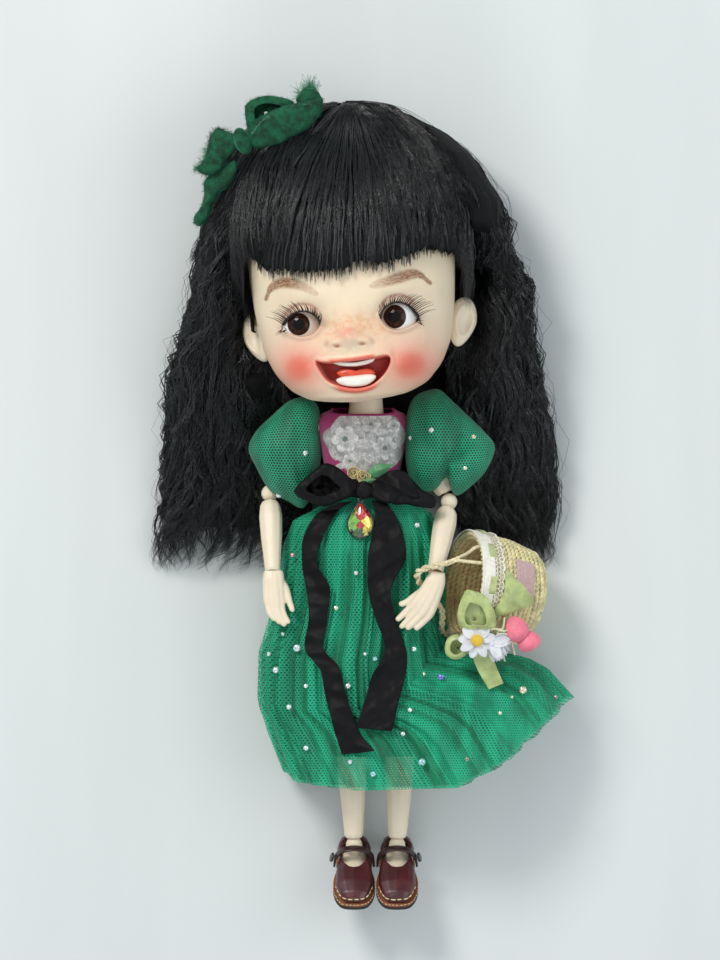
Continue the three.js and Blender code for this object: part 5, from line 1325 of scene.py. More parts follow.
SLEEVE_OUTLINES = {
    "r": [(306, 397), (313, 401), (319, 410), (320.5, 433), (321, 458), (315, 484), (304, 507), (288, 501),
          (270, 490), (257, 468), (249, 449), (256, 432), (273, 415), (290, 401)],
    "l": [(431, 390), (415, 397), (407, 416), (405.5, 445), (407, 468), (413, 483), (424, 491), (436, 489),
          (447, 480), (456, 495), (472, 485), (486, 470), (494.5, 447), (484, 432), (469, 417), (453, 402),
          (441, 391)],
}
SLEEVE_CENTRES = {"r": (288, 450, 25.5), "l": (447, 440, 27.5)}
SLEEVE_SWELL = {"r": 13.4, "l": 13.9}
SLEEVE_CREASES = {
    "r": [([(316, 431), (302, 437), (297, 452), (301, 474)], 2.2, 0.9),
          ([(306, 399), (302, 418), (300, 433)], 2.4, 0.7)],
    "l": [([(446, 482), (452, 465), (462, 454), (463, 440)], 2.4, 3.2),
          ([(409, 437), (422, 440), (436, 452)], 2.6, 1.0),
          ([(462, 454), (476, 450), (490, 448)], 2.6, 1.2)],
}
SLEEVE_ROWS, SLEEVE_COLUMNS = 90, 300
# The sleeve net's holes are filled with a dark green, a painted shade of the puff's inside
NET = net_look("sleeve_net", "0C9E74", 1.12, 0.35, 1, "03281D")


def sleeve_grid(side):
    points, uv = lobe_grid(SLEEVE_OUTLINES[side], SLEEVE_CENTRES[side], SLEEVE_SWELL[side], 0,
                           SLEEVE_ROWS, SLEEVE_COLUMNS, round_off=0.92)
    front = np.cos(np.linspace(0, math.pi, SLEEVE_ROWS))[:, None] > -0.05
    for line, width, depth in SLEEVE_CREASES[side]:
        away, _ = line_distance(points[..., :2].reshape(-1, 2), spots(line)[:, :2])
        dip = depth * np.exp(-((away.reshape(points.shape[:2]) / width) ** 2))
        points[..., 2] -= np.where(front, dip, 0)
    return rumpled(points, 0.28, 9, 5 if side == "r" else 9), uv


SLEEVES = {}
for side in "rl":
    points, uv = sleeve_grid(side)
    SLEEVES[side] = points[: SLEEVE_ROWS // 2].reshape(-1, 3)
    name = f"sleeve_cloth_{side}"
    piece(name, sheet_mesh(points, True, 0.3, uv), NET, f"upper_arm_{side}", [f"sleeve_{side}"])


# Bodice

BODICE_ROWS = np.array([
    [54.3, 12.4, 9.0], [60, 13.2, 9.4], [66, 14.6, 10.2], [73.5, 16.2, 11], [78, 16.6, 10.4], [81, 15, 9],
    [82.8, 11, 7.4],
])
BODICE_X, BODY_Z, BODICE_POWER = -2.6, 26.0, 2.25
PRINT_AT, PRINT_HALF = (366, 441), (41, 31)
BLOOMS = ((345, 439, 13.5, 6, 0.3, 0), (385, 448, 12, 7, 0.9, 1), (371, 424, 9.5, 5, 0.2, 2),
          (350, 461, 7.5, 6, 0.5, 1), (394, 426, 6.5, 5, 1.1, 0))
LEAVES = ((338, 424, 12, 4.2, -0.9), (354, 419, 9, 3.4, 0.7), (361, 443, 10, 3.6, -0.35),
          (369, 458, 11, 3.8, 0.5), (398, 440, 9, 3.2, 1.3), (333, 452, 9, 3.3, 1.2),
          (383, 432, 8, 3, -0.2), (361, 432, 8, 3, 1.0), (391, 464, 9, 3.2, -0.5), (384, 416, 9, 3, 0.25),
          (341, 466, 7, 2.8, -0.3), (373, 441, 7, 2.6, 1.5))


def print_masks(u, v):
    du, dv = u - PRINT_AT[0], v - PRINT_AT[1]
    bearing = np.arctan2(dv, du)
    reach = np.hypot(du / PRINT_HALF[0], dv / PRINT_HALF[1])
    reach = reach + 0.05 * np.sin(5 * bearing + 1) + 0.035 * np.sin(11 * bearing)
    mask = smoothstep(1.03, 0.95, reach)
    shade = mask * (0.42 + 0.12 * np.sin(u * 0.31 + np.sin(v * 0.23) * 2))
    heart = np.zeros_like(u)
    for at_u, at_v, long, wide, turn in LEAVES:
        du, dv = u - at_u, v - at_v
        along = du * math.cos(turn) + dv * math.sin(turn)
        across = -du * math.sin(turn) + dv * math.cos(turn)
        edge = wide * np.sqrt(np.clip(1 - (along / long) ** 2, 0, 1)) ** 1.3
        inside = smoothstep(0.7, -0.5, np.abs(across) - edge) * (np.abs(along) < long)
        rib = np.abs((along + np.abs(across) * 1.2) % 4 - 2)
        vein = np.exp(-((across / 0.7) ** 2)) + 0.5 * np.exp(-((rib / 0.5) ** 2))
        tone = 0.35 + 0.4 * np.abs(across) / wide + 0.35 * vein
        shade = np.where(inside > mask * 0.9, tone, shade)
        mask = np.maximum(mask, inside)
    for at_u, at_v, size, petals, turn, grey in BLOOMS:
        du, dv = u - at_u, v - at_v
        away, angle = np.hypot(du, dv), np.arctan2(dv, du)
        lobes = np.abs(np.cos(petals * angle / 2 + turn))
        edge = size * (0.66 + 0.34 * lobes**0.7)
        inside = smoothstep(0.8, -0.4, away - edge)
        tone = 0.5 + 0.5 * (away / edge) - 0.35 * (1 - lobes) ** 3 - 0.1 * grey
        tone -= 0.16 * np.exp(-((away / size - 0.45) / 0.1) ** 2) * (0.5 + 0.5 * np.cos(petals * 3 * angle))
        shade = np.where(inside > 0.5, tone, shade)
        mask = np.maximum(mask, inside)
        heart = np.maximum(heart, smoothstep(0.26 * size, 0.14 * size, away))
    return mask, np.clip(shade, 0, 1), heart


def bodice_mesh():
    rows, columns = 210, 560
    angle = around(columns)[None]
    share = np.linspace(0, 1, rows)[:, None]
    c, s = np.cos(angle), np.sin(angle)
    top = 82.7 - 2.1 * smoothstep(0.25, 0.95, s)
    y = BODICE_ROWS[0, 0] + (top - BODICE_ROWS[0, 0]) * share
    width = np.interp(y, BODICE_ROWS[:, 0], BODICE_ROWS[:, 1])
    depth = np.interp(y, BODICE_ROWS[:, 0], BODICE_ROWS[:, 2])
    bend = 2 / BODICE_POWER
    x = BODICE_X + width * np.sign(c) * np.abs(c) ** bend
    z = BODY_Z + depth * np.sign(s) * np.abs(s) ** bend
    points = rumpled(np.stack([x, y, z + 0 * y], -1), 0.16, 9, 14)
    points[..., 2] += 0.25 * np.exp(-(((share - 1) / 0.03) ** 2))
    mask, shade, heart = print_masks(x / PIXEL + ORIGIN_U + 0 * y, ORIGIN_V - y / PIXEL)
    mask = mask * (s > 0)
    flat = points.reshape(-1, 3)
    paint = np.stack([mask, shade, heart * (s > 0)], -1).reshape(-1, 3)
    uv = np.stack([angle * 13 + 0 * y, y], -1).reshape(-1, 2)
    return new_mesh(flat, grid_faces(rows, columns, True), uv, {"print": paint}), points[-1]


def cotton_look():
    look = Look("bodice_cotton", "A8296A", 0.8, Sheen_Weight=0.25)
    look.mottle(6, 0.82, 1.12)
    paint = look.attribute("print")
    grain = look.noise(0.7, 4, stretch=(1, 0.5, 1))
    tone = look.math("ADD", paint.outputs[1], look.band(grain, 0.3, 0.7, -0.16, 0.16))
    grey = look.mix(tone, "70706E", "F3F1EE")
    grey = look.mix(look.band(look.noise(2.2, 4), 0.45, 0.62, 0, 0.45), grey, "8E8B89")
    look.tint(paint.outputs[0], grey)
    look.tint(look.math("MULTIPLY", paint.outputs[2], 0.85), "5F7460")
    look.bump(look.wave(0.42, source="UV"), 0.03, 0.6)
    look.bump(look.wave(0.42, (0, 0, math.pi / 2), source="UV"), 0.03, 0.6)
    return look.done()


COTTON = cotton_look()
mesh, neckline = bodice_mesh()
piece("bodice_cloth", mesh, COTTON, "torso", ["bodice"])
hem = Look("neck_seam", "8E2159", 0.85).mottle(1.2, 0.8, 1.2).done()
piece("neck_binding", one_tube(neckline[::4], 0.42, 7, closed=True), hem, "torso")


# Sash, bow and tails

SASH_Y, SASH_HALF_WIDTH, SASH_HALF_DEPTH = 54.3, 15.6, 12.2


def sash_mesh():
    rows, columns = 34, 320
    angle = around(columns)[None]
    share = np.linspace(-1, 1, rows)[:, None]
    c, s = np.cos(angle), np.sin(angle)
    pleats = 0.3 * np.cos(share * 8.5 + 0.8 * np.sin(2 * angle)) + 0.25 * (1 - share**2)
    bend = 2 / SKIRT_POWER
    x = -1 + (SASH_HALF_WIDTH + pleats) * np.sign(c) * np.abs(c) ** bend
    z = BODY_Z + (SASH_HALF_DEPTH + pleats) * np.sign(s) * np.abs(s) ** bend
    y = SASH_Y + 3.1 * share + 0.25 * np.sin(7 * angle)
    return sheet_mesh(np.stack([x, y, z], -1), True, 0.4)


def silk_look():
    look = Look("black_silk", "050406", 0.58, Specular_IOR_Level=0.2)
    look.mottle(5, 0.8, 1.25, stretch=(1, 0.4, 1))
    look.grain(0.5, 0.8, 4.5, 3, 0.5)
    look.bump(look.wave(0.35), 0.03, 0.5)
    return look.done()


SILK = silk_look()
BOW_Z = 41.7
piece("sash_cloth", sash_mesh(), SILK, "torso", ["sash"])
LEFT_LOOP = [(361, 488, 41.6), (349.5, 478, 42), (339.5, 469, 42.6), (329.6, 464, 42.6),
             (322.9, 464.6, 42.4), (313, 471.3, 42), (303, 480.4, 41.6), (294.7, 489.5, 41),
             (297.2, 496, 41), (306.3, 500.3, 41.4), (319.6, 505.3, 41.8), (329.6, 505.3, 42),
             (339.5, 501, 42), (352.8, 496, 41.6), (359.4, 493, 41.6)]
RIGHT_LOOP = [(367.7, 488, 41.6), (375, 480, 42), (384, 473.6, 42.6), (393, 470, 42.8), (404.2, 471.3, 42.6),
              (410.8, 478, 42.2), (421, 488.5, 41.6), (424, 494, 41.4), (416, 500, 41.6), (404, 503, 41.8),
              (392, 503.5, 42), (382, 502.5, 42), (374, 498, 41.8), (369, 493.5, 41.6)]
RIGHT_TIP = [(392, 492, 42.4), (405, 489, 42.6), (419, 489, 42.2), (433.2, 496, 41.4), (436, 504, 41),
             (432, 508.3, 41), (419, 507, 41.4), (405.8, 504.6, 41.8), (393, 504, 42)]
lobe("bow_loop_r", LEFT_LOOP, (318, 487, 41.6), 2.8, SILK, "torso", 0.2, (1.0, 6), 3, True, ["sash_bow"],
     "ribbon", rows=44, columns=260)
lobe("bow_loop_l", RIGHT_LOOP, (396, 488, 41.8), 2.9, SILK, "torso", 0, (1.1, 6.5), 8, True, slot="ribbon",
     rows=44, columns=260)
lobe("bow_tip_l", RIGHT_TIP, (414, 499, 41.9), 1.7, SILK, "torso", 0, (0.6, 6), 12, True, slot="ribbon",
     rows=30, columns=200)
knot = ellipsoid_mesh(spot(364, 490, 42.6), (3.4, 3.2, 2.9), 40, 60,
                      shape=lambda p: rumpled(p, 0.16, 0.9, 4, True))
piece("bow_knot", knot, SILK, "torso")

TAILS = {
    "r": [[-8.6, 49.4, 6], [-15.4, 45.4, 7.4], [-20.4, 36.5, 7], [-21.6, 27, 5.4], [-18.6, 18.2, 8],
          [-18.6, 8, 7], [-20, -3, 6.2], [-14.6, -10, 7], [-12.2, -20, 7], [-8.6, -32, 8.6],
          [-4.2, -40.4, 11.5]],
    "l": [[3.4, 49.6, 5], [6.2, 41.9, 9], [6, 30, 13], [3.4, 18.3, 8.4], [5.6, 8, 7.2], [9.2, -4, 8.2],
          [6.4, -14, 11.4], [3.6, -24, 12.4], [1.4, -32, 12.4]],
}


def tail_mesh(side):
    rows, columns = 150, 26
    slant, wander_seed, crease_seed = (0.12, 4, 21) if side == "r" else (-0.1, 6, 33)
    stations = np.array([[x, y, 0, width] for x, y, width in TAILS[side]], float)
    points = band_grid(stations, rows, columns, (1, slant, 0), 0.35, wander_seed)
    coarse = points[::5, ::5]
    ground = skirt_height(coarse)
    down, over = np.linspace(0, len(coarse) - 1, rows), np.linspace(0, 5, columns)
    across = np.array([np.interp(over, np.arange(ground.shape[1]), row) for row in ground])
    raised = np.array([np.interp(down, np.arange(len(across)), across[:, k]) for k in range(columns)]).T
    settled = (np.roll(raised, 3, 0) + raised + np.roll(raised, -3, 0)) / 3
    settled[:4], settled[-4:] = raised[:4], raised[-4:]
    points[..., 2] = np.maximum(settled, raised) + 1.3
    share = np.linspace(0, 1, rows)[:, None]
    edge = np.linspace(-1, 1, columns)[None]
    ripple = 0.5 * (1 + np.sin(share * 31 + edge * 1.4)) * 0.8
    points[..., 2] += ripple + 0.5 * edge**2 * (1 + np.sin(share * 19))
    points[..., 2] = np.where(share < 0.08, np.maximum(points[..., 2], BOW_Z - 1.5), points[..., 2])
    return sheet_mesh(rumpled(points, 0.8, 8, crease_seed, True), False, 0.35)


for side in "rl":
    piece(f"tail_cloth_{side}", tail_mesh(side), SILK, "torso", [f"sash_tail_{side}"])

# Crystals, pendant, roses and leaf

# Flat facets, each with its own corners and tone
class Facets:
    def __init__(self):
        self.verts, self.faces, self.tones = [], [], []

    def add(self, corners, tone):
        start, count = len(self.verts), len(corners)
        self.verts += list(corners)
        self.faces.append(tuple(range(start, start + count)))
        self.tones += [np.clip(tone, 0, 1)] * count

    def mesh(self, place=(0, 0, 0)):
        mesh = new_mesh(np.array(self.verts) + place, self.faces, None, {"tone": np.array(self.tones)})
        mesh.polygons.foreach_set("use_smooth", np.zeros(len(mesh.polygons), bool))
        return mesh


# Cut stones seen from above: rings of [radius share, height share] round a table
def gem_mesh(stones):
    rings, sides = ((1, 0), (0.96, 0.25), (0.72, 0.8), (0.45, 1)), 8
    facets = Facets()
    for centre, radius, tone in stones:
        tone = np.array(tone)
        turn = RNG.uniform(0, 1)
        levels = []
        for k, (wide, high) in enumerate(rings):
            angle = (np.arange(sides) + 0.5 * k) / sides * 2 * math.pi + turn
            level = [np.cos(angle) * wide, np.sin(angle) * wide, 0 * angle + high * 0.55]
            levels.append(np.stack(level, -1) * radius + centre)
        for low, high in zip(levels[:-1], levels[1:]):
            for j in range(sides):
                k = (j + 1) % sides
                for corners in ((low[j], low[k], high[j]), (low[k], high[k], high[j])):
                    # Each facet is made lighter or darker at random: painted glints
                    facets.add(corners, tone * RNG.uniform(0.25, 1.5) + RNG.uniform(0, 0.15))
        facets.add(levels[-1], tone * 0.9)
    return facets.mesh()


def crystal_look():
    look = Look("crystal", "FFFFFF", 0.06, Specular_IOR_Level=1.0, Metallic=0.35, Coat_Weight=1.0)
    look.colour = look.node("Attribute", attribute_name="tone")
    look.mottle(0.6, 0.8, 1.3)
    return look.done()


CRYSTAL = crystal_look()
CLEAR, WARM, COOL = (0.75, 0.85, 0.85), (0.9, 0.75, 0.5), (0.35, 0.75, 0.75)
VIOLET, RED, SMOKE = (0.16, 0.12, 0.85), (0.8, 0.3, 0.3), (0.3, 0.25, 0.2)
SKIRT_STONES = [
    (297, 648, 1.3, CLEAR), (276, 670, 1.2, CLEAR), (422, 762, 1.3, COOL), (289, 707, 0.95, CLEAR),
    (348, 686, 1, CLEAR), (375, 659, 0.9, COOL), (373, 774, 1, COOL), (306, 748, 0.95, CLEAR),
    (523, 690, 1.4, WARM), (500, 713, 0.7, WARM), (441, 677, 1.1, VIOLET), (336, 608, 0.8, WARM),
    (293, 555, 0.85, RED), (424, 674, 0.5, WARM), (389, 615, 0.6, RED), (512, 697, 0.5, WARM),
    (356, 573, 0.8, CLEAR), (417, 525, 0.95, CLEAR), (283, 634, 0.7, CLEAR), (269, 654, 0.8, CLEAR),
    (306, 686, 0.8, CLEAR), (414, 649, 0.9, CLEAR), (410, 710, 0.8, CLEAR), (403, 734, 0.8, CLEAR),
    (350, 762, 0.8, CLEAR), (365, 654, 0.6, CLEAR), (467, 759, 0.8, SMOKE),
    (556, 697, 0.7, SMOKE),
]
SLEEVE_STONES = {
    "r": [(305, 453, 1, CLEAR), (279, 495, 1.1, CLEAR)],
    "l": [(431.5, 430, 1.05, CLEAR), (473.5, 437, 0.9, WARM), (411, 438, 0.95, CLEAR), (465, 468, 0.8, WARM)],
}


def skirt_stone(u, v, radius, tone):
    at = spot(u, v)
    at[2] = skirt_height(at[None])[0] + 0.15
    return at, radius, tone


piece("skirt_crystals", gem_mesh([skirt_stone(*row) for row in SKIRT_STONES]), CRYSTAL, "torso")
for side in "rl":
    stones = []
    for u, v, radius, tone in SLEEVE_STONES[side]:
        at = spot(u, v)
        at[2] = heights_near(SLEEVES[side], [at[:2]])[0] - 0.1
        stones.append((at, radius, tone))
    piece(f"sleeve_crystals_{side}", gem_mesh(stones), CRYSTAL, f"upper_arm_{side}")

PENDANT_OUTLINE = [(360.5, 501.5), (365, 507), (370, 514), (373.2, 522), (371.8, 530.5), (366.5, 536),
                   (360, 537.6), (353.5, 536), (348.8, 530.5), (347.8, 522), (351.2, 514), (356.2, 507)]
PENDANT_RINGS, PENDANT_SIDES = ((1, 0), (0.95, 0.5), (0.74, 1.5), (0.42, 2.1)), 24


def pendant_mesh():
    sides = PENDANT_SIDES
    centre = spot(360.5, 522)
    rim = curve(spots(PENDANT_OUTLINE), sides, True) - centre
    height = skirt_height((centre + rim).reshape(-1, 3)).max() + 0.9
    facets = Facets()
    levels = [np.column_stack([rim[:, :2] * share, np.full(sides, rise)]) for share, rise in PENDANT_RINGS]
    for depth, (low, high) in enumerate(zip(levels[:-1], levels[1:])):
        for j in range(0, sides, 2):
            mid, end = (j + 1) % sides, (j + 2) % sides
            for corners in ((low[j], low[mid], high[j]), (low[mid], low[end], high[end]),
                            (low[mid], high[end], high[j])):
                x, y, _ = np.mean(corners, axis=0)
                # Each facet is made lighter or darker at random: painted glints
                facets.add(corners, facet_tone(x, y, depth) * RNG.uniform(0.5, 1.3))
    top = np.array([0, 0.4, PENDANT_RINGS[-1][1] + 0.1])
    for j in range(0, sides, 2):
        a, b = levels[-1][j], levels[-1][(j + 2) % sides]
        tone = facet_tone(*(a[:2] + b[:2]) / 2, len(PENDANT_RINGS) - 1)
        facets.add((a, b, top), tone * RNG.uniform(0.7, 1.2))
    place = centre + (0, 0, height)
    return facets.mesh(place), np.column_stack([rim[:, :2], np.zeros(sides)]) + place, height


# Red above, yellow to the right, green to the left, and round the rim dark and clear facets by turns, which
# are painted reflections
def facet_tone(x, y, depth):
    if depth == 0:
        return np.array([0.42, 0.46, 0.42]) if (x * 7 + y * 3) % 2 > 0.8 else np.array([0.05, 0.07, 0.05])
    if y < -2.6:
        return np.array([0.12, 0.2, 0.08]) if x < 1 else np.array([0.75, 0.62, 0.12])
    if x < -1.6:
        return np.array([0.25, 0.55, 0.1])
    if x > 1.4 and y < 1.5:
        return np.array([0.95, 0.75, 0.1])
    return np.array([0.55, 0.06, 0.05])


mesh, rim, pendant_z = pendant_mesh()
piece("pendant_stone", mesh, CRYSTAL, "torso", ["pendant"])
STEEL = Look("dark_steel", "5A5A58", 0.25, Metallic=1.0).mottle(1, 0.7, 1.2).done()
piece("pendant_setting", one_tube(rim, 0.42, 8, 96, True), STEEL, "torso")
claws = [one_tube([rim[k], rim[k] * 0.9 + rim.mean(0) * 0.1 + (0, 0, 1.2)], 0.3, 6) for k in (3, 9, 15, 21)]
piece("pendant_claws", joined(claws), STEEL, "torso")
loop = np.array([[0.9 * math.cos(a), 0.9 * math.sin(a), 0] for a in np.linspace(0, 6, 9)])
loop = loop + spot(360.5, 500.5, pendant_z + 0.9)
piece("pendant_ring", one_tube(loop, 0.22, 6, 40, True), STEEL, "torso")


# A rose is a strip of silk rolled round itself, with its upper edge turned out
def rose_mesh(centre, radius, height, seed):
    rng = np.random.default_rng(seed)
    turn = np.linspace(0, 2 * math.pi * 3.4, 220)[:, None]
    up = np.linspace(0, 1, 9)[None]
    reach = radius * (0.1 + 0.9 * (turn / turn.max()) ** 0.9)
    flare = reach * (1 + 0.16 * up**2) + 0.1 * np.sin(turn * 2.7 + rng.uniform(0, 6)) * up
    crest = height * (0.75 + 0.25 * np.cos(turn / 4)) * up
    x, y = flare * np.cos(turn + seed), flare * np.sin(turn + seed)
    points = np.stack([x, y, crest + 0.12 * np.sin(turn * 3.3) * up], -1) + centre
    return sheet_mesh(points, False, 0.24)


ROSE_Z = 37.6
roses = [rose_mesh(spot(354.2, 473, ROSE_Z), 2.1, 3.1, 1), rose_mesh(spot(363.4, 476.2, ROSE_Z), 2.3, 3.5, 4)]
roses.append(ellipsoid_mesh(spot(358.5, 476, ROSE_Z - 0.1), (3.6, 2.2, 0.9)))
piece("rolled_roses", joined(roses), ROSE, "torso", ["sash_roses"])


def leaf_mesh(base, tip, half_width, lift):
    rows, columns = 40, 17
    share = np.linspace(0, 1, rows)[:, None]
    across = np.linspace(-1, 1, columns)[None]
    way = tip - base
    side = unit(np.cross(way, (0, 0, 1)))
    wide = half_width * np.sin(math.pi * np.clip(share, 0.02, 0.98) ** 0.8)
    points = base + way * share[..., None] + side * (wide * across)[..., None]
    points[..., 2] += lift * np.sin(math.pi * share) - 0.8 * np.abs(across) * np.sin(math.pi * share)
    return sheet_mesh(rumpled(points, 0.12, 3, 3), False, 0.2)


leaf = leaf_mesh(spot(367, 475.5, 38.6), spot(392.5, 464.5, 38.4), 2.3, 1.4)
piece("rose_leaf", leaf, LEAF, "torso")
piece("rose_leaf_small", leaf_mesh(spot(362, 481, 39.4), spot(377, 480, 40.6), 1.3, 0.6), LEAF, "torso")


# Basket

BASKET_DEPTH, BASKET_TILT, BASKET_TURN = 27, math.radians(22), math.radians(-8)
BASKET_MOUTH = np.array([33.4, 19.5, 25.2])
BASKET_WAY = np.array([math.cos(BASKET_TILT) * math.cos(BASKET_TURN),
                       math.cos(BASKET_TILT) * math.sin(BASKET_TURN), -math.sin(BASKET_TILT)])
BASKET_SIDE = np.array([-math.sin(BASKET_TURN), math.cos(BASKET_TURN), 0])
BASKET_RISE = np.cross(BASKET_WAY, BASKET_SIDE)
STAKES, ROW_PITCH = 30, 1.9


def basket_radius(depth):
    return 19.5 - 4.5 * (np.clip(depth, 0, None) / 25.5) ** 2.2


# A point of the basket's outside: the angle starts at the doll's head and passes over the top
def basket_point(angle, depth, out=0.0, radius=None):
    radius = (basket_radius(depth) if radius is None else radius) + out
    ring = np.cos(angle)[..., None] * BASKET_SIDE + np.sin(angle)[..., None] * BASKET_RISE
    points = BASKET_MOUTH + np.asarray(depth)[..., None] * BASKET_WAY + np.asarray(radius)[..., None] * ring
    points[..., 2] = np.maximum(points[..., 2], 0.6)
    return points


# Two strands twined round the stakes in each row
def weave_paths(depths, out, sway):
    angle, wobble = around(336), 0.12
    paths = []
    for k, depth in enumerate(depths):
        for strand in (0, math.pi):
            turn = STAKES * angle + strand + 0.9 * k
            shift = 0.42 * np.cos(turn) + wobble * np.sin(5 * angle + 2.1 * k)
            reach = out + sway * np.sin(turn) + wobble * np.sin(7 * angle + k)
            paths.append(basket_point(angle, depth + shift, reach))
    return np.array(paths)


def grass_look(name, colour, dark, light):
    look = Look(name, colour, 0.72, Specular_IOR_Level=0.35)
    look.mottle(3.4, dark, light)
    look.mottle(0.6, 0.85, 1.12, stretch=(1, 0.3, 1))
    look.grain(0.08, 0.8, 0.4, 4)
    return look.done()


GRASS = grass_look("seagrass", "E6DBAA", 0.7, 1.12)
# The inside's seagrass is its own warmer copy, coloured as the inside looks in its shade: a painted shade
# colour
GRASS_IN_SHADE = grass_look("seagrass_in_shade", "FFDEAC", 0.85, 1.2)
CORD = grass_look("cream_cord", "EBDDB6", 0.85, 1.08)
rows = np.arange(1.3, BASKET_DEPTH - 1.2, ROW_PITCH)
piece("basket_weave", tubes_mesh(weave_paths(rows, -0.75, 0.5), 0.7, 6, True), GRASS, "basket",
      ["basket_body"])
piece("basket_weave_inside", tubes_mesh(weave_paths(rows, -1.6, 0.45), 0.66, 6, True), GRASS_IN_SHADE,
      "basket")
angle = around(160)[None]
depth = np.linspace(0, BASKET_DEPTH - 1, 30)[:, None]
core = basket_point(angle + 0 * depth, depth + 0 * angle, -1.15)
piece("basket_core", sheet_mesh(core, True, 0.3), GRASS_IN_SHADE, "basket")
angle = around(300)
base_rings = []
for k, radius in enumerate(np.arange(0.9, 14.6, 1.25)):
    for strand in (0, math.pi):
        turn = max(4, round(radius * 2.6)) * angle + strand
        drop = 0.3 * math.exp(-((radius / 6) ** 2))
        base_depth = BASKET_DEPTH - 0.9 - drop + 0.34 * np.sin(turn)
        base_rings.append(basket_point(angle, base_depth, radius=radius + 0.34 * np.cos(turn)))
piece("basket_base", tubes_mesh(np.array(base_rings), 0.52, 5, True), GRASS, "basket")
rim_angle = around(500)
rim_path = []
for strand in (0, math.pi):
    turn = 30 * rim_angle + strand
    rim_path.append(basket_point(rim_angle, 0.25 + 0.42 * np.sin(turn), -0.75 + 0.42 * np.cos(turn)))
piece("basket_rim", tubes_mesh(np.array(rim_path), 0.6, 7, True), CORD, "basket")


def lace_look():
    look = Look("lace", "F1EDE0", 0.8, Sheen_Weight=0.2)
    uv = look.node("SeparateXYZ", {0: look.coords.outputs["UV"]}, 0).node
    near = look.math("MULTIPLY", uv.outputs[0], 2 * math.pi / 3.1)
    row = uv.outputs[1]
    eyes = look.math("ABSOLUTE", look.math("SINE", near))
    net = look.net(1.5, 0.42)
    ranks = look.math("ABSOLUTE", look.math("SINE", look.math("MULTIPLY", row, 1.9)))
    flower = look.band(look.math("ADD", eyes, ranks), 0.3, 0.55)
    inner = look.band(row, 3.6, 4.2)
    solid = look.math("MAXIMUM", look.math("MULTIPLY", net, flower), look.math("SUBTRACT", 1.0, inner))
    look.mottle(1.4, 0.88, 1.05)
    look.bump(net, 0.12, 0.7)
    return look.done(look.band(solid, 0.2, 0.7, 0.12, 1))


LACE = lace_look()
angle = around(720)[None]
share = np.linspace(0, 1, 26)[:, None]
reach = 7.4 + 0.75 * np.abs(np.sin(18 * angle))
depth = -0.5 + reach * share
lift = 0.55 + 0.14 * np.sin(9 * angle + 5 * share) + 0.3 * share
lace_points = basket_point(angle + 0 * share, depth, lift)
lace_uv = np.stack([angle * 19 + 0 * share, depth], -1)
piece("basket_lace", sheet_mesh(lace_points, True, 0, lace_uv), LACE, "basket")
edge = one_tube(lace_points[-1], 0.26, 6, closed=True)
inner = one_tube(basket_point(angle[0], 0 * angle[0] - 0.5, 0.5), 0.34, 6, closed=True)
PICOT = Look("lace_cord", "F4F0E4", 0.8).mottle(0.8, 0.85, 1.05).done()
piece("lace_edge", joined([edge, inner]), PICOT, "basket")
over = 0.66 + 0.46 * np.tanh(3 * np.sin(9 * angle + 0.8) - 0.6)
ribbon_points = basket_point(angle + 0 * share, 2.3 + 2.0 * share + 0 * angle, over + 0 * share)
piece("rim_ribbon", sheet_mesh(ribbon_points, True, 0.18), GREEN_RIBBON, "basket")
FELT = Look("tag_felt", "C9A7A6", 0.9, Sheen_Weight=0.3).mottle(0.8, 0.86, 1.1)
FELT = FELT.grain(0.12, 0.8, 0.35, 4).done()
angle = math.radians(73) + np.linspace(-0.37, 0.37, 40)[None]
depth = np.linspace(12.6, 20, 30)[:, None]
tag = basket_point(angle + 0 * depth, depth + 0.12 * np.sin(40 * angle), 0.75 + 0 * depth + 0 * angle)
piece("basket_tag", sheet_mesh(tag, False, 0.5), FELT, "basket")


def rim_place(degrees, proud):
    return basket_point(np.radians([degrees]), np.array([-proud]), -0.8)[0]


HANDLE_OVER = [(30.5, 28.2, 46.4), (23.5, 26.6, 47), (18.1, 25, 45), (17, 22.4, 41.2), (19.6, 17.6, 37.4),
               (25.6, 11, 34)]
HANDLE_LAST = [rim_place(200, 3), rim_place(200, -1.5)]
FIRST_ENDS = ([rim_place(62, -1.5), rim_place(62, 2.4)],
              [rim_place(38, -4), rim_place(39, -1.2), rim_place(42, 2.6)])
trunk = curve(HANDLE_OVER + HANDLE_LAST, 240)
strands_at = twisted(trunk, 0.62, 7.5)
HANDLE_CORDS = []
for k, (strand, ends) in enumerate(zip(strands_at, FIRST_ENDS)):
    lead = curve([*ends, strand[6], strand[30]], 60)[:-20]
    route = curve(np.concatenate([lead[::6], strand[14::8], strand[-1:]]), 520)
    cord = tubes_mesh(twisted(route, 0.3, 2.1, phase=k), 0.4, 6)
    node = ["basket_handle"] if k == 0 else ()
    HANDLE_CORDS.append((piece(f"handle_cord_{k}", cord, CORD, "basket", node), route))


# Bow and flowers on the basket

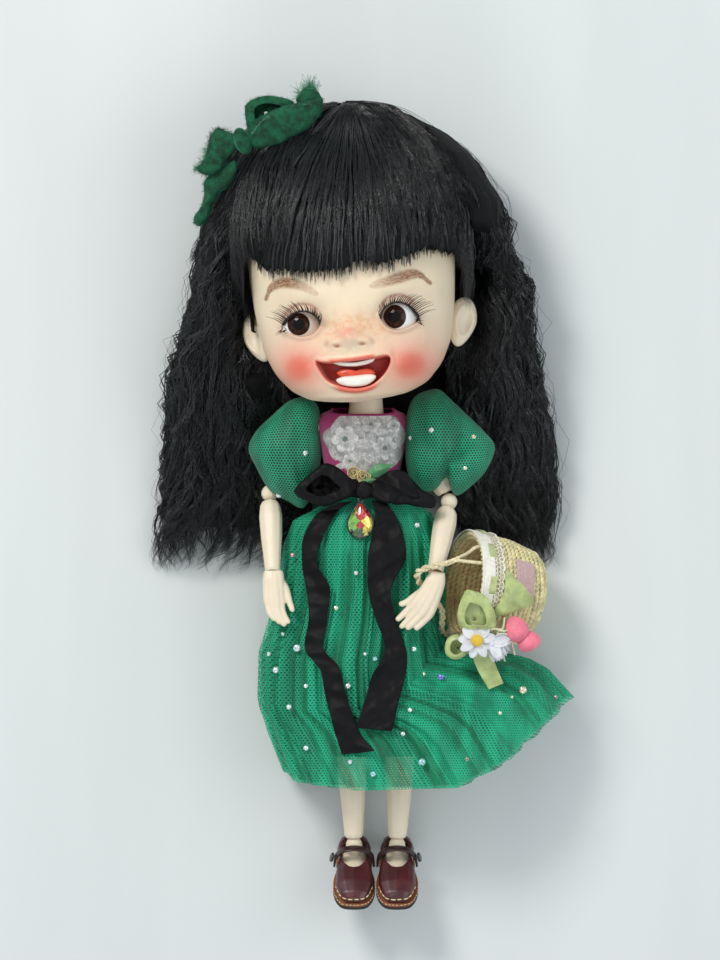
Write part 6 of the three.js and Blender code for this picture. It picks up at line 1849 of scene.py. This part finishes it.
POSY_TOP = [(466.7, 590.2, 47.2), (474.4, 591.4, 47.6), (485.9, 596.5, 47.0), (492.2, 606.7, 45.4),
            (495.4, 617, 44.4), (495.4, 626, 43.8), (489.7, 629.7, 43.8), (477, 628.6, 43.8),
            (466.7, 629.7, 43.4), (460.4, 626, 43.4), (457.8, 617, 44.2), (459, 606.7, 45.4),
            (462.9, 596.5, 46.6)]
POSY_SIDE = [(506.3, 571, 42.4), (515.2, 577.4, 41.8), (526.7, 589, 40.6), (533.7, 600.4, 39),
             (530.5, 605.5, 38.6), (515.2, 611.8, 39.8), (501.2, 616, 41), (493, 612, 42), (500, 602, 42.2),
             (504.6, 588, 42.6)]
POSY_LOW = [(449, 637.3, 41), (456.5, 634.8, 41.4), (463, 638.6, 41.6), (469.3, 645, 41.2),
            (468, 652.7, 40.6), (459, 658.4, 40), (451.4, 658.4, 39.8), (445.7, 652.7, 40),
            (445.7, 643.7, 40.6)]
lobe("posy_loop_top", POSY_TOP, (474, 620, 45), 2.0, GREEN_RIBBON, "basket", 0.3, (0.7, 6), 3, False,
     ["basket_posy"], "silk", rows=36, columns=200, back=0.3)
lobe("posy_loop_side", POSY_SIDE, (511, 597, 40.8), 1.5, GREEN_RIBBON, "basket", 0, (0.9, 6), 5,
     slot="silk", rows=36, columns=200)
lobe("posy_loop_low", POSY_LOW, (458, 648, 40.6), 2.0, GREEN_RIBBON, "basket", 0.36, (0.4, 6), 9,
     slot="silk", rows=36, columns=180)
knot = ellipsoid_mesh(spot(481, 634, 42.4), (2.8, 2.4, 2), 24, 36,
                      shape=lambda p: rumpled(p, 0.14, 1, 4, True))
piece("posy_knot", knot, GREEN_RIBBON, "basket")
tail_stations = [[39.6, 1, 41.4, 4.5], [39.8, -3.5, 41, 6.4], [41.6, -9.4, 38.6, 6.2],
                 [45.2, -16.6, 36.2, 5.2]]
posy_tail = band_grid(tail_stations, 60, 16, (1, 0.42, 0.1))
posy_tail[..., 2] = np.maximum(posy_tail[..., 2], skirt_height(posy_tail) + 0.8)
posy_tail = rumpled(posy_tail, 0.25, 8, 3)
piece("posy_tail", sheet_mesh(posy_tail, False, 0.22), GREEN_RIBBON, "basket")


# A petal: a thin cupped leaf from the heart outwards
def petal_mesh(heart, way, length, half_width, cup=0.5, notch=0.0):
    rows, columns = 22, 13
    share = np.linspace(0, 1, rows)[:, None]
    across = np.linspace(-1, 1, columns)[None]
    way = unit(way)
    side = unit(np.cross(way, (0, 0, 1)))
    lift = np.cross(side, way)
    wide = half_width * np.sin(math.pi * np.clip(share * 0.86 + 0.12, 0, 1)) ** 0.6
    teeth = notch * (0.5 + 0.5 * np.cos(across * math.pi * 5)) * smoothstep(0.7, 1, share)
    reach = share * length * (1 - teeth)
    points = heart + way * reach[..., None] + side * (wide * across)[..., None]
    bend = cup * (across**2 - 0.4) * np.sin(math.pi * share) + 0.5 * np.sin(math.pi * share * 0.9)
    points = points + lift * bend[..., None]
    return sheet_mesh(points, False, 0.22)


heart = spot(477, 640.5, 45.4)
petals = []
for k in range(9):
    turn = k / 9 * 2 * math.pi + 0.25
    way = np.array([math.cos(turn), math.sin(turn) * 0.86, -0.12 + 0.1 * math.sin(3 * k)])
    petals.append(petal_mesh(heart + way * 1.4 - (0, 0, 0.9), way, 5.4, 1.75))
petals.append(ellipsoid_mesh(heart - (0, 0, 1.5), (2.2, 2.2, 0.7)))
blossom_heart = spot(491.5, 643, 43.6)
for k in range(7):
    turn = math.radians(-78 + 17 * k)
    way = np.array([math.cos(turn), math.sin(turn), -0.25 + 0.35 * ((k * 3) % 4) / 3])
    petals.append(petal_mesh(blossom_heart, way, 7.2, 1.9, 0.9, 0.22))
petals.append(ellipsoid_mesh(blossom_heart, (1.5, 1.4, 1.2)))
piece("white_petals", joined(petals), PETAL, "basket")
pollen = ellipsoid_mesh(heart, (2.25, 2.2, 1.5), 30, 40, shape=lambda p: rumpled(p, 0.07, 0.35, 8))
piece("daisy_heart", pollen, POLLEN, "basket")


def bud_look():
    look = Look("pink_bud", "EE7E92", 0.5, Subsurface_Weight=0.2, Subsurface_Scale=0.003)
    look.mottle(4, 0.86, 1.14)
    specks = look.band(look.cells(1.9), 0.1, 0.16, 1, 0)
    look.tint(look.math("MULTIPLY", specks, 0.6), "C9932F")
    look.grain(0.08, 0.7, 0.5, 3)
    return look.done()


PINK_BUD = bud_look()
egg = lambda p: p * (1 - 0.18 * p[..., 1:2] * np.array([1, 0, 1]))
lean = Matrix.Rotation(math.radians(25), 3, "Z")
buds = [ellipsoid_mesh(spot(516.5, 629, 42.4), (4.2, 4.8, 4), 30, 40, lean, egg),
        ellipsoid_mesh(spot(528.5, 641, 41.2), (4.2, 3.7, 3.6), 30, 40, lean, egg)]
piece("pink_buds", joined(buds), PINK_BUD, "basket")
STEM = Look("pale_stem", "D9D6B4", 0.7).mottle(0.8, 0.8, 1.1).done()
STEMS = [
    [(497, 633, 43), (503, 628, 44), (504.5, 617.5, 43.6)],
    [(497, 634, 43.2), (504, 634, 44), (510, 638, 43.4), (515, 655, 41)],
    [(496, 630, 43.4), (505, 631, 44.4), (510, 627, 44)],
    [(498, 635, 43), (507, 640, 43.6), (517, 644, 42), (526, 647, 41)],
    [(498, 636, 42.8), (500, 648, 42.4), (505, 661, 41)], [(488, 632, 43), (494, 629, 44), (503, 630, 44)],
]
stems = [one_tube(spots(line), 0.3, 6, 30) for line in STEMS]
piece("posy_stems", joined(stems), STEM, "basket")

# Hair gathered under the bow

GATHER_OUT = spots([(292, 114, 43), (264, 118, 38), (235, 143, 36), (220.5, 168, 33), (213, 201, 30),
                    (202, 233, 27), (189, 264, 22)])
GATHER_IN = spots([(304, 124, 47), (280, 139, 48), (261, 157, 48), (248, 180, 45), (236, 206, 40),
                   (222, 236, 34), (205, 264, 28)])
share = np.linspace(0, 1, 40)[:, None, None]
gathered = GATHER_OUT * (1 - share) + GATHER_IN * share
gathered[..., 2] += RNG.uniform(-3, 0.5, (40, 1))
gathered = np.array([curve(line, 34) for line in gathered])
hair("gathered_locks", gathered, 1.5, 16, 0.17, 0.05, (0.5, 24), 0.12, tip=0.0)


# Velvet bow in the hair

def velvet_look():
    look = Look("velvet", "04482C", 0.9, Sheen_Weight=0.5, Sheen_Roughness=0.3, Sheen_Tint=(0.1, 0.8, 0.5, 1))
    # Broad patches much darker and lighter: painted shade and light, as at folds
    look.mottle(3.4, 0.45, 1.5)
    look.mottle(0.8, 0.8, 1.25)
    look.grain(0.15, 1.0, 0.3, 4)
    look.grain(0.3, 0.5, 2.4, 3)
    return look.done()


VELVET = velvet_look()
BOW_FRONT = [(247, 134, 48), (251, 125, 48.6), (258, 118.5, 49.4), (269, 112.3, 50.6), (284, 106, 51.8),
             (299.2, 102.5, 52.6), (313, 99.6, 53), (322, 98, 53), (322.5, 107, 52.6), (319.8, 115, 52),
             (310, 125.5, 51), (297, 136, 49.8), (284, 143.4, 48.6), (269, 147, 47.8), (256, 147.6, 47.6),
             (249.6, 142, 47.8)]
BOW_REAR = [(246, 106, 46), (253.7, 99.3, 46.4), (266.7, 96, 47), (279.7, 97.4, 47.6), (293, 102, 48.2),
            (290, 111, 48), (277, 121, 47.2), (262, 131, 46.6), (250, 133, 46.2), (246, 119, 46)]
BOW_FLAP = [(296, 99, 51), (302.5, 90, 50.6), (310, 84.5, 50.2), (315.5, 88.4, 50.6), (319.8, 94, 51),
            (322.4, 103, 52.2), (311, 107, 52), (300, 106, 51.6)]
BOW_CREST = [(211.4, 134, 41.6), (217.9, 128.6, 42.4), (225.5, 130.7, 43.4), (235, 135.6, 45),
             (237.6, 146, 44.6), (228, 157, 42.4), (221, 168, 40.8), (212.5, 174, 39.6), (205, 175, 38.8),
             (195.4, 169, 38), (201.7, 164.6, 38.6), (205, 156.7, 39.6), (208.2, 143.7, 40.6)]
BOW_FALL = [(207.4, 177, 36), (215.8, 170, 37.6), (226, 165, 39.8), (235, 161, 42), (237, 172, 41),
            (228, 187, 37.8), (221, 192, 36), (215.8, 200, 34.4), (211.4, 210, 33), (205, 221.6, 31.6),
            (199.5, 226.1, 30.8), (194.1, 222.8, 30.6), (194.8, 216, 31), (200.8, 206.6, 32),
            (204, 194.7, 33.4), (203.8, 183.8, 35)]
VELVET_LOBES = {
    "front": (BOW_FRONT, (285, 124, 50.4), 2.6, 0, (0.7, 7), 3, False, 40, 260),
    "rear": (BOW_REAR, (266, 113, 46.8), 2.2, 0.3, (0.5, 7), 5, False, 30, 200),
    "flap": (BOW_FLAP, (309, 97, 51.2), 0.9, 0, (0.4, 5), 6, False, 24, 140),
    "crest": (BOW_CREST, (217, 151, 41.4), 2.8, 0, (0.9, 6), 7, True, 40, 240),
    "fall": (BOW_FALL, (213, 192, 35.6), 2.5, 0, (0.7, 6), 8, False, 36, 240),
}
for part, (outline, at, swell, hole, rumple, seed, sharp, rows, columns) in VELVET_LOBES.items():
    node = ["hair_bow"] if part == "front" else ()
    lobe(f"velvet_{part}", outline, at, swell, VELVET, "head", hole, rumple, seed, sharp, node, "velvet",
         rows=rows, columns=columns)
turn = turn_z(math.radians(22))
knot = ellipsoid_mesh(spot(242.5, 141, 48.4), (3, 5, 3.6), 40, 56, turn,
                      lambda p: rumpled(p, 0.1, 0.8, 4, True))
piece("velvet_knot", knot, VELVET, "head", ["hair_bow_knot"])
# Pale pile fibres: frayed at the flap and the side, and along the front loop's top a painted sheen
PALE_PILE = Look("velvet_fray", "2F8C63", 0.85, Sheen_Weight=0.6).mottle(1, 0.5, 1.4).done()
for k, (part, count, length) in enumerate((("front", 700, 0.9), ("rear", 320, 1.1), ("crest", 620, 1.5),
                                           ("fall", 460, 1.0))):
    outline, at = VELVET_LOBES[part][:2]
    rim = curve(spots(outline), 400, True)
    away = unit((rim - spot(*at[:2])) * (1, 1, 0))
    fuzz(f"velvet_fuzz_{k}", rim, away, count, length, VELVET, "head", 0.06, 10 + k)
frayed = curve(spots([(297, 98, 51), (303, 90, 50.8), (310, 85, 50.6), (316, 89, 50.8)]), 60)
fuzz("velvet_fray_top", frayed, unit((frayed - spot(311, 103, 51)) * (1, 1, 0)), 170, 3.4, PALE_PILE,
     "head", 0.07, 21)
# Short pale fibres along the front loop's top make that edge lighter: a painted sheen
edge = curve(spots([(252, 134, 50.8), (262, 121, 51.6), (280, 110.5, 52.8), (297, 105.4, 53.8),
                    (311, 104, 54)]), 140)
fuzz("velvet_sheen_fibres", edge, np.tile(unit(np.array([-0.4, 0.8, 0.5])), (140, 1)), 260, 0.9, PALE_PILE,
     "head", 0.055, 22)
rim = curve(spots([(206, 148, 41), (203, 160, 39.6), (198, 167, 38.6), (208, 174, 39)]), 80)
fuzz("velvet_fray_side", rim, np.tile(unit(np.array([-0.9, 0.1, 0.1])), (80, 1)), 120, 2.4, PALE_PILE,
     "head", 0.06, 23)


# Shoes, in a frame at the ankle: x outwards, y to the toes, z up the leg

TOE_LIFT = math.radians(48)
SHOE_AXES = np.array([[-1, 0, 0], [0, -math.cos(TOE_LIFT), math.sin(TOE_LIFT)],
                      [0, math.sin(TOE_LIFT), math.cos(TOE_LIFT)]])
ANKLES = {"r": np.array([-5.7, -73.3, 14.54]), "l": np.array([9.7, -73.3, 14.54])}
SOLE_ROWS = np.array([[-9.7, 2.6], [-7.3, 5.4], [-3, 6.5], [3, 6.2], [9, 7.4], [15, 7.4], [19.8, 6],
                      [22.4, 3.2]])
SOLE_BOTTOM, WELT_BOTTOM, SOLE_TOP = -11.0, -9.95, -8.75


def in_shoe(side, points):
    return np.asarray(points, float) @ SHOE_AXES + ANKLES[side]


def sole_outline(count, inset=0.0):
    rows = SOLE_ROWS
    ring = np.concatenate([rows, rows[::-1] * (1, -1)])[:, ::-1]
    outline = curve(ring, count, True)
    way = np.roll(outline, -1, 0) - np.roll(outline, 1, 0)
    outwards = unit(np.stack([way[:, 1], -way[:, 0]], -1))
    outwards *= np.sign((outwards * (outline - (0, 6))).sum(1).mean())
    return outline - outwards * inset, outwards


def slab_mesh(side, low, high, bevel, grow=0.0, ridges=0):
    count, inmost = 220, 9
    outline, outwards = sole_outline(count)
    centre = np.array([0, 6.0])
    rings = []
    for z, inset in ((low, inmost), (low, bevel), (low + bevel * 0.5, 0), (high - bevel * 0.5, 0),
                     (high, bevel), (high, inmost)):
        rim = outline + outwards * (grow - min(inset, 1.2 * bevel))
        if ridges and inset == 0:
            rim = rim + outwards * 0.07 * np.sin(np.arange(count) / count * 2 * math.pi * ridges)[:, None]
        flat = centre + (rim - centre) * (0.02 if inset == inmost else 1)
        rings.append(np.column_stack([flat, np.full(count, z)]))
    return sheet_mesh(in_shoe(side, np.array(rings)), True)


def leather_look(name, colour, dark=0.7, light=1.25, rough=0.36):
    look = Look(name, colour, rough, Coat_Weight=0.25, Coat_Roughness=0.3)
    look.mottle(6, dark, light)
    look.mottle(1.2, 0.88, 1.1)
    look.bump(look.cells(0.55, "DISTANCE_TO_EDGE"), 0.03, 0.5)
    look.grain(0.2, 0.35, 2.8, 3)
    return look.done()


OXBLOOD = leather_look("oxblood_leather", "4E1A1E")
DARK_LEATHER = leather_look("strap_leather", "35191B", 0.8, 1.15)
WELT = leather_look("welt_leather", "8C4A2A", 0.7, 1.15, 0.6)
RUBBER = Look("outsole", "22241F", 0.7).mottle(1.5, 0.7, 1.3).grain(0.1, 0.8, 0.8, 4).done()
THREAD = Look("saddle_thread", "E6D7A6", 0.7).mottle(0.5, 0.75, 1.1).done()
BUTTON = Look("dark_button", "1E241F", 0.3, Coat_Weight=0.5).mottle(0.8, 0.7, 1.4).done()


# Stitches along a seam: each stands a little proud between its two holes
def stitch_run(path, length, gap, radius):
    gone = np.concatenate([[0], np.cumsum(np.linalg.norm(np.diff(path, axis=0), axis=1))])
    made = []
    for start in np.arange(0.3, gone[-1] - length, length + gap):
        at = np.linspace(start, start + length * RNG.uniform(0.85, 1.1), 9)
        points = np.stack([np.interp(at, gone, path[:, i]) for i in range(3)], -1)
        points += RNG.normal(scale=0.05, size=3)
        arch = np.sin(np.linspace(0, math.pi, 9))[:, None]
        thick = radius * (0.55 + 0.45 * arch[:, 0])
        made.append(tubes_mesh((points + np.array([0, -0.4, 1]) * 0.12 * arch)[None], thick[None], 6))
    return joined(made)


def outside_of(tree, target, way):
    way = Vector(unit(way))
    hit = tree.ray_cast(Vector(target * MM) + way * 0.03, -way, 0.06)[0]
    return np.array(hit) / MM if hit is not None else np.array(target, float)


def seam_path(side, tree):
    count, height, heel = 150, -6.7, -4.5
    outline, outwards = sole_outline(count, 0.9)
    keep = [k for k in range(count) if outline[k, 1] > heel]
    start = keep[0] or next(k for k in range(count) if outline[k, 1] > heel >= outline[k - 1, 1])
    order = [(start + k) % count for k in range(len(keep))]
    points = []
    for k in order:
        target = in_shoe(side, [*outline[k], height])
        lean = np.array([*outwards[k], 0.75]) @ SHOE_AXES
        points.append(outside_of(tree, target, lean) + unit(lean) * 0.1)
    return np.array(points)


STRAP = [(-7.1, 3.4, -6.6), (-6.9, 3.5, -4.4), (-6.3, 3.6, -2), (-3.9, 4, 0.9), (0, 4.1, 1.9),
         (3.9, 4, 0.9), (6.3, 3.6, -2), (6.9, 3.5, -4.4), (7.1, 3.4, -6.6)]
for side in "rl":
    body = f"foot_{side}"
    mesh = softened(f"shoe_upper_{side}", 0.28, 9, 0.1)
    tree = BVHTree.FromPolygons([v.co for v in mesh.vertices], [tuple(p.vertices) for p in mesh.polygons])
    piece(f"upper_{side}", mesh, OXBLOOD, body, [f"shoe_upper_{side}"])
    outsole = slab_mesh(side, SOLE_BOTTOM, WELT_BOTTOM, 0.25)
    piece(f"outsole_{side}", outsole, RUBBER, body, [f"shoe_sole_{side}"])
    welt = slab_mesh(side, WELT_BOTTOM, SOLE_TOP, 0.3, -0.1, 90)
    piece(f"welt_{side}", welt, WELT, body)
    seam = seam_path(side, tree)
    piece(f"stitches_{side}", stitch_run(seam, 1.75, 0.55, 0.24), THREAD, body)
    low = sole_outline(200, 0.05)[0]
    welt_line = in_shoe(side, np.column_stack([low, np.full(200, SOLE_TOP + 0.05)]))
    piece(f"welt_thread_{side}", stitch_run(welt_line, 0.9, 0.5, 0.13), THREAD, body)
    arch = curve(STRAP, 90)
    across = np.linspace(-0.5, 0.5, 9)
    strap = np.array([arch + (0, reach * 2.4, 0.12 * (1 - (2 * reach) ** 2)) for reach in across])
    strap = sheet_mesh(in_shoe(side, strap), False, 0.75)
    piece(f"strap_{side}", strap, DARK_LEATHER, body, [f"shoe_strap_{side}"])
    outer = 1 if side == "r" else -1
    seat = np.array([outer * 7.5, 3.5, -3.0])
    axis = unit(np.array([outer, 0, 0.3]))
    u, v = unit(np.cross(axis, (0, 1, 0))), np.array([0, 1.0, 0])
    profile = [(0.0, 0.05), (0.0, 1.5), (0.25, 1.75), (0.75, 1.75), (0.95, 1.5), (0.8, 1.15), (0.8, 0.05)]
    spin = around(48)[:, None]
    rim = np.cos(spin) * u + np.sin(spin) * v
    disc = np.array([seat + axis * high + wide * rim for high, wide in profile])
    button = sheet_mesh(in_shoe(side, disc), True)
    piece(f"button_{side}", button, BUTTON, body, [f"shoe_button_{side}"])


# A brown elastic line shows at the left wrist, and a seam line at the right

ELASTIC = Look("elastic", "8A5632", 0.6).mottle(0.6, 0.8, 1.2).done()
WRISTS = {"r": ((-35.93, 52.49, 22.92), (-34.84, 23.37, 34.35)),
          "l": ((28.26, 49.53, 26.98), (23.02, 22.86, 42.5))}
for side, radius, tint in (("r", 2.5, SKIN), ("l", 2.75, ELASTIC)):
    elbow, wrist = (np.array(p) for p in WRISTS[side])
    way = unit(wrist - elbow)
    across = unit(np.cross(way, (0, 0, 1)))
    turn = around(60)[:, None]
    ring = wrist - way * 1.3 + radius * (np.cos(turn) * across + np.sin(turn) * np.cross(way, across))
    piece(f"wrist_ring_{side}", one_tube(ring, 0.28, 7, closed=True), tint, f"forearm_{side}")


# The length of each handle cord along its route

for cord, route in HANDLE_CORDS:
    reach = np.linalg.norm(np.diff(route, axis=0), axis=1).sum()
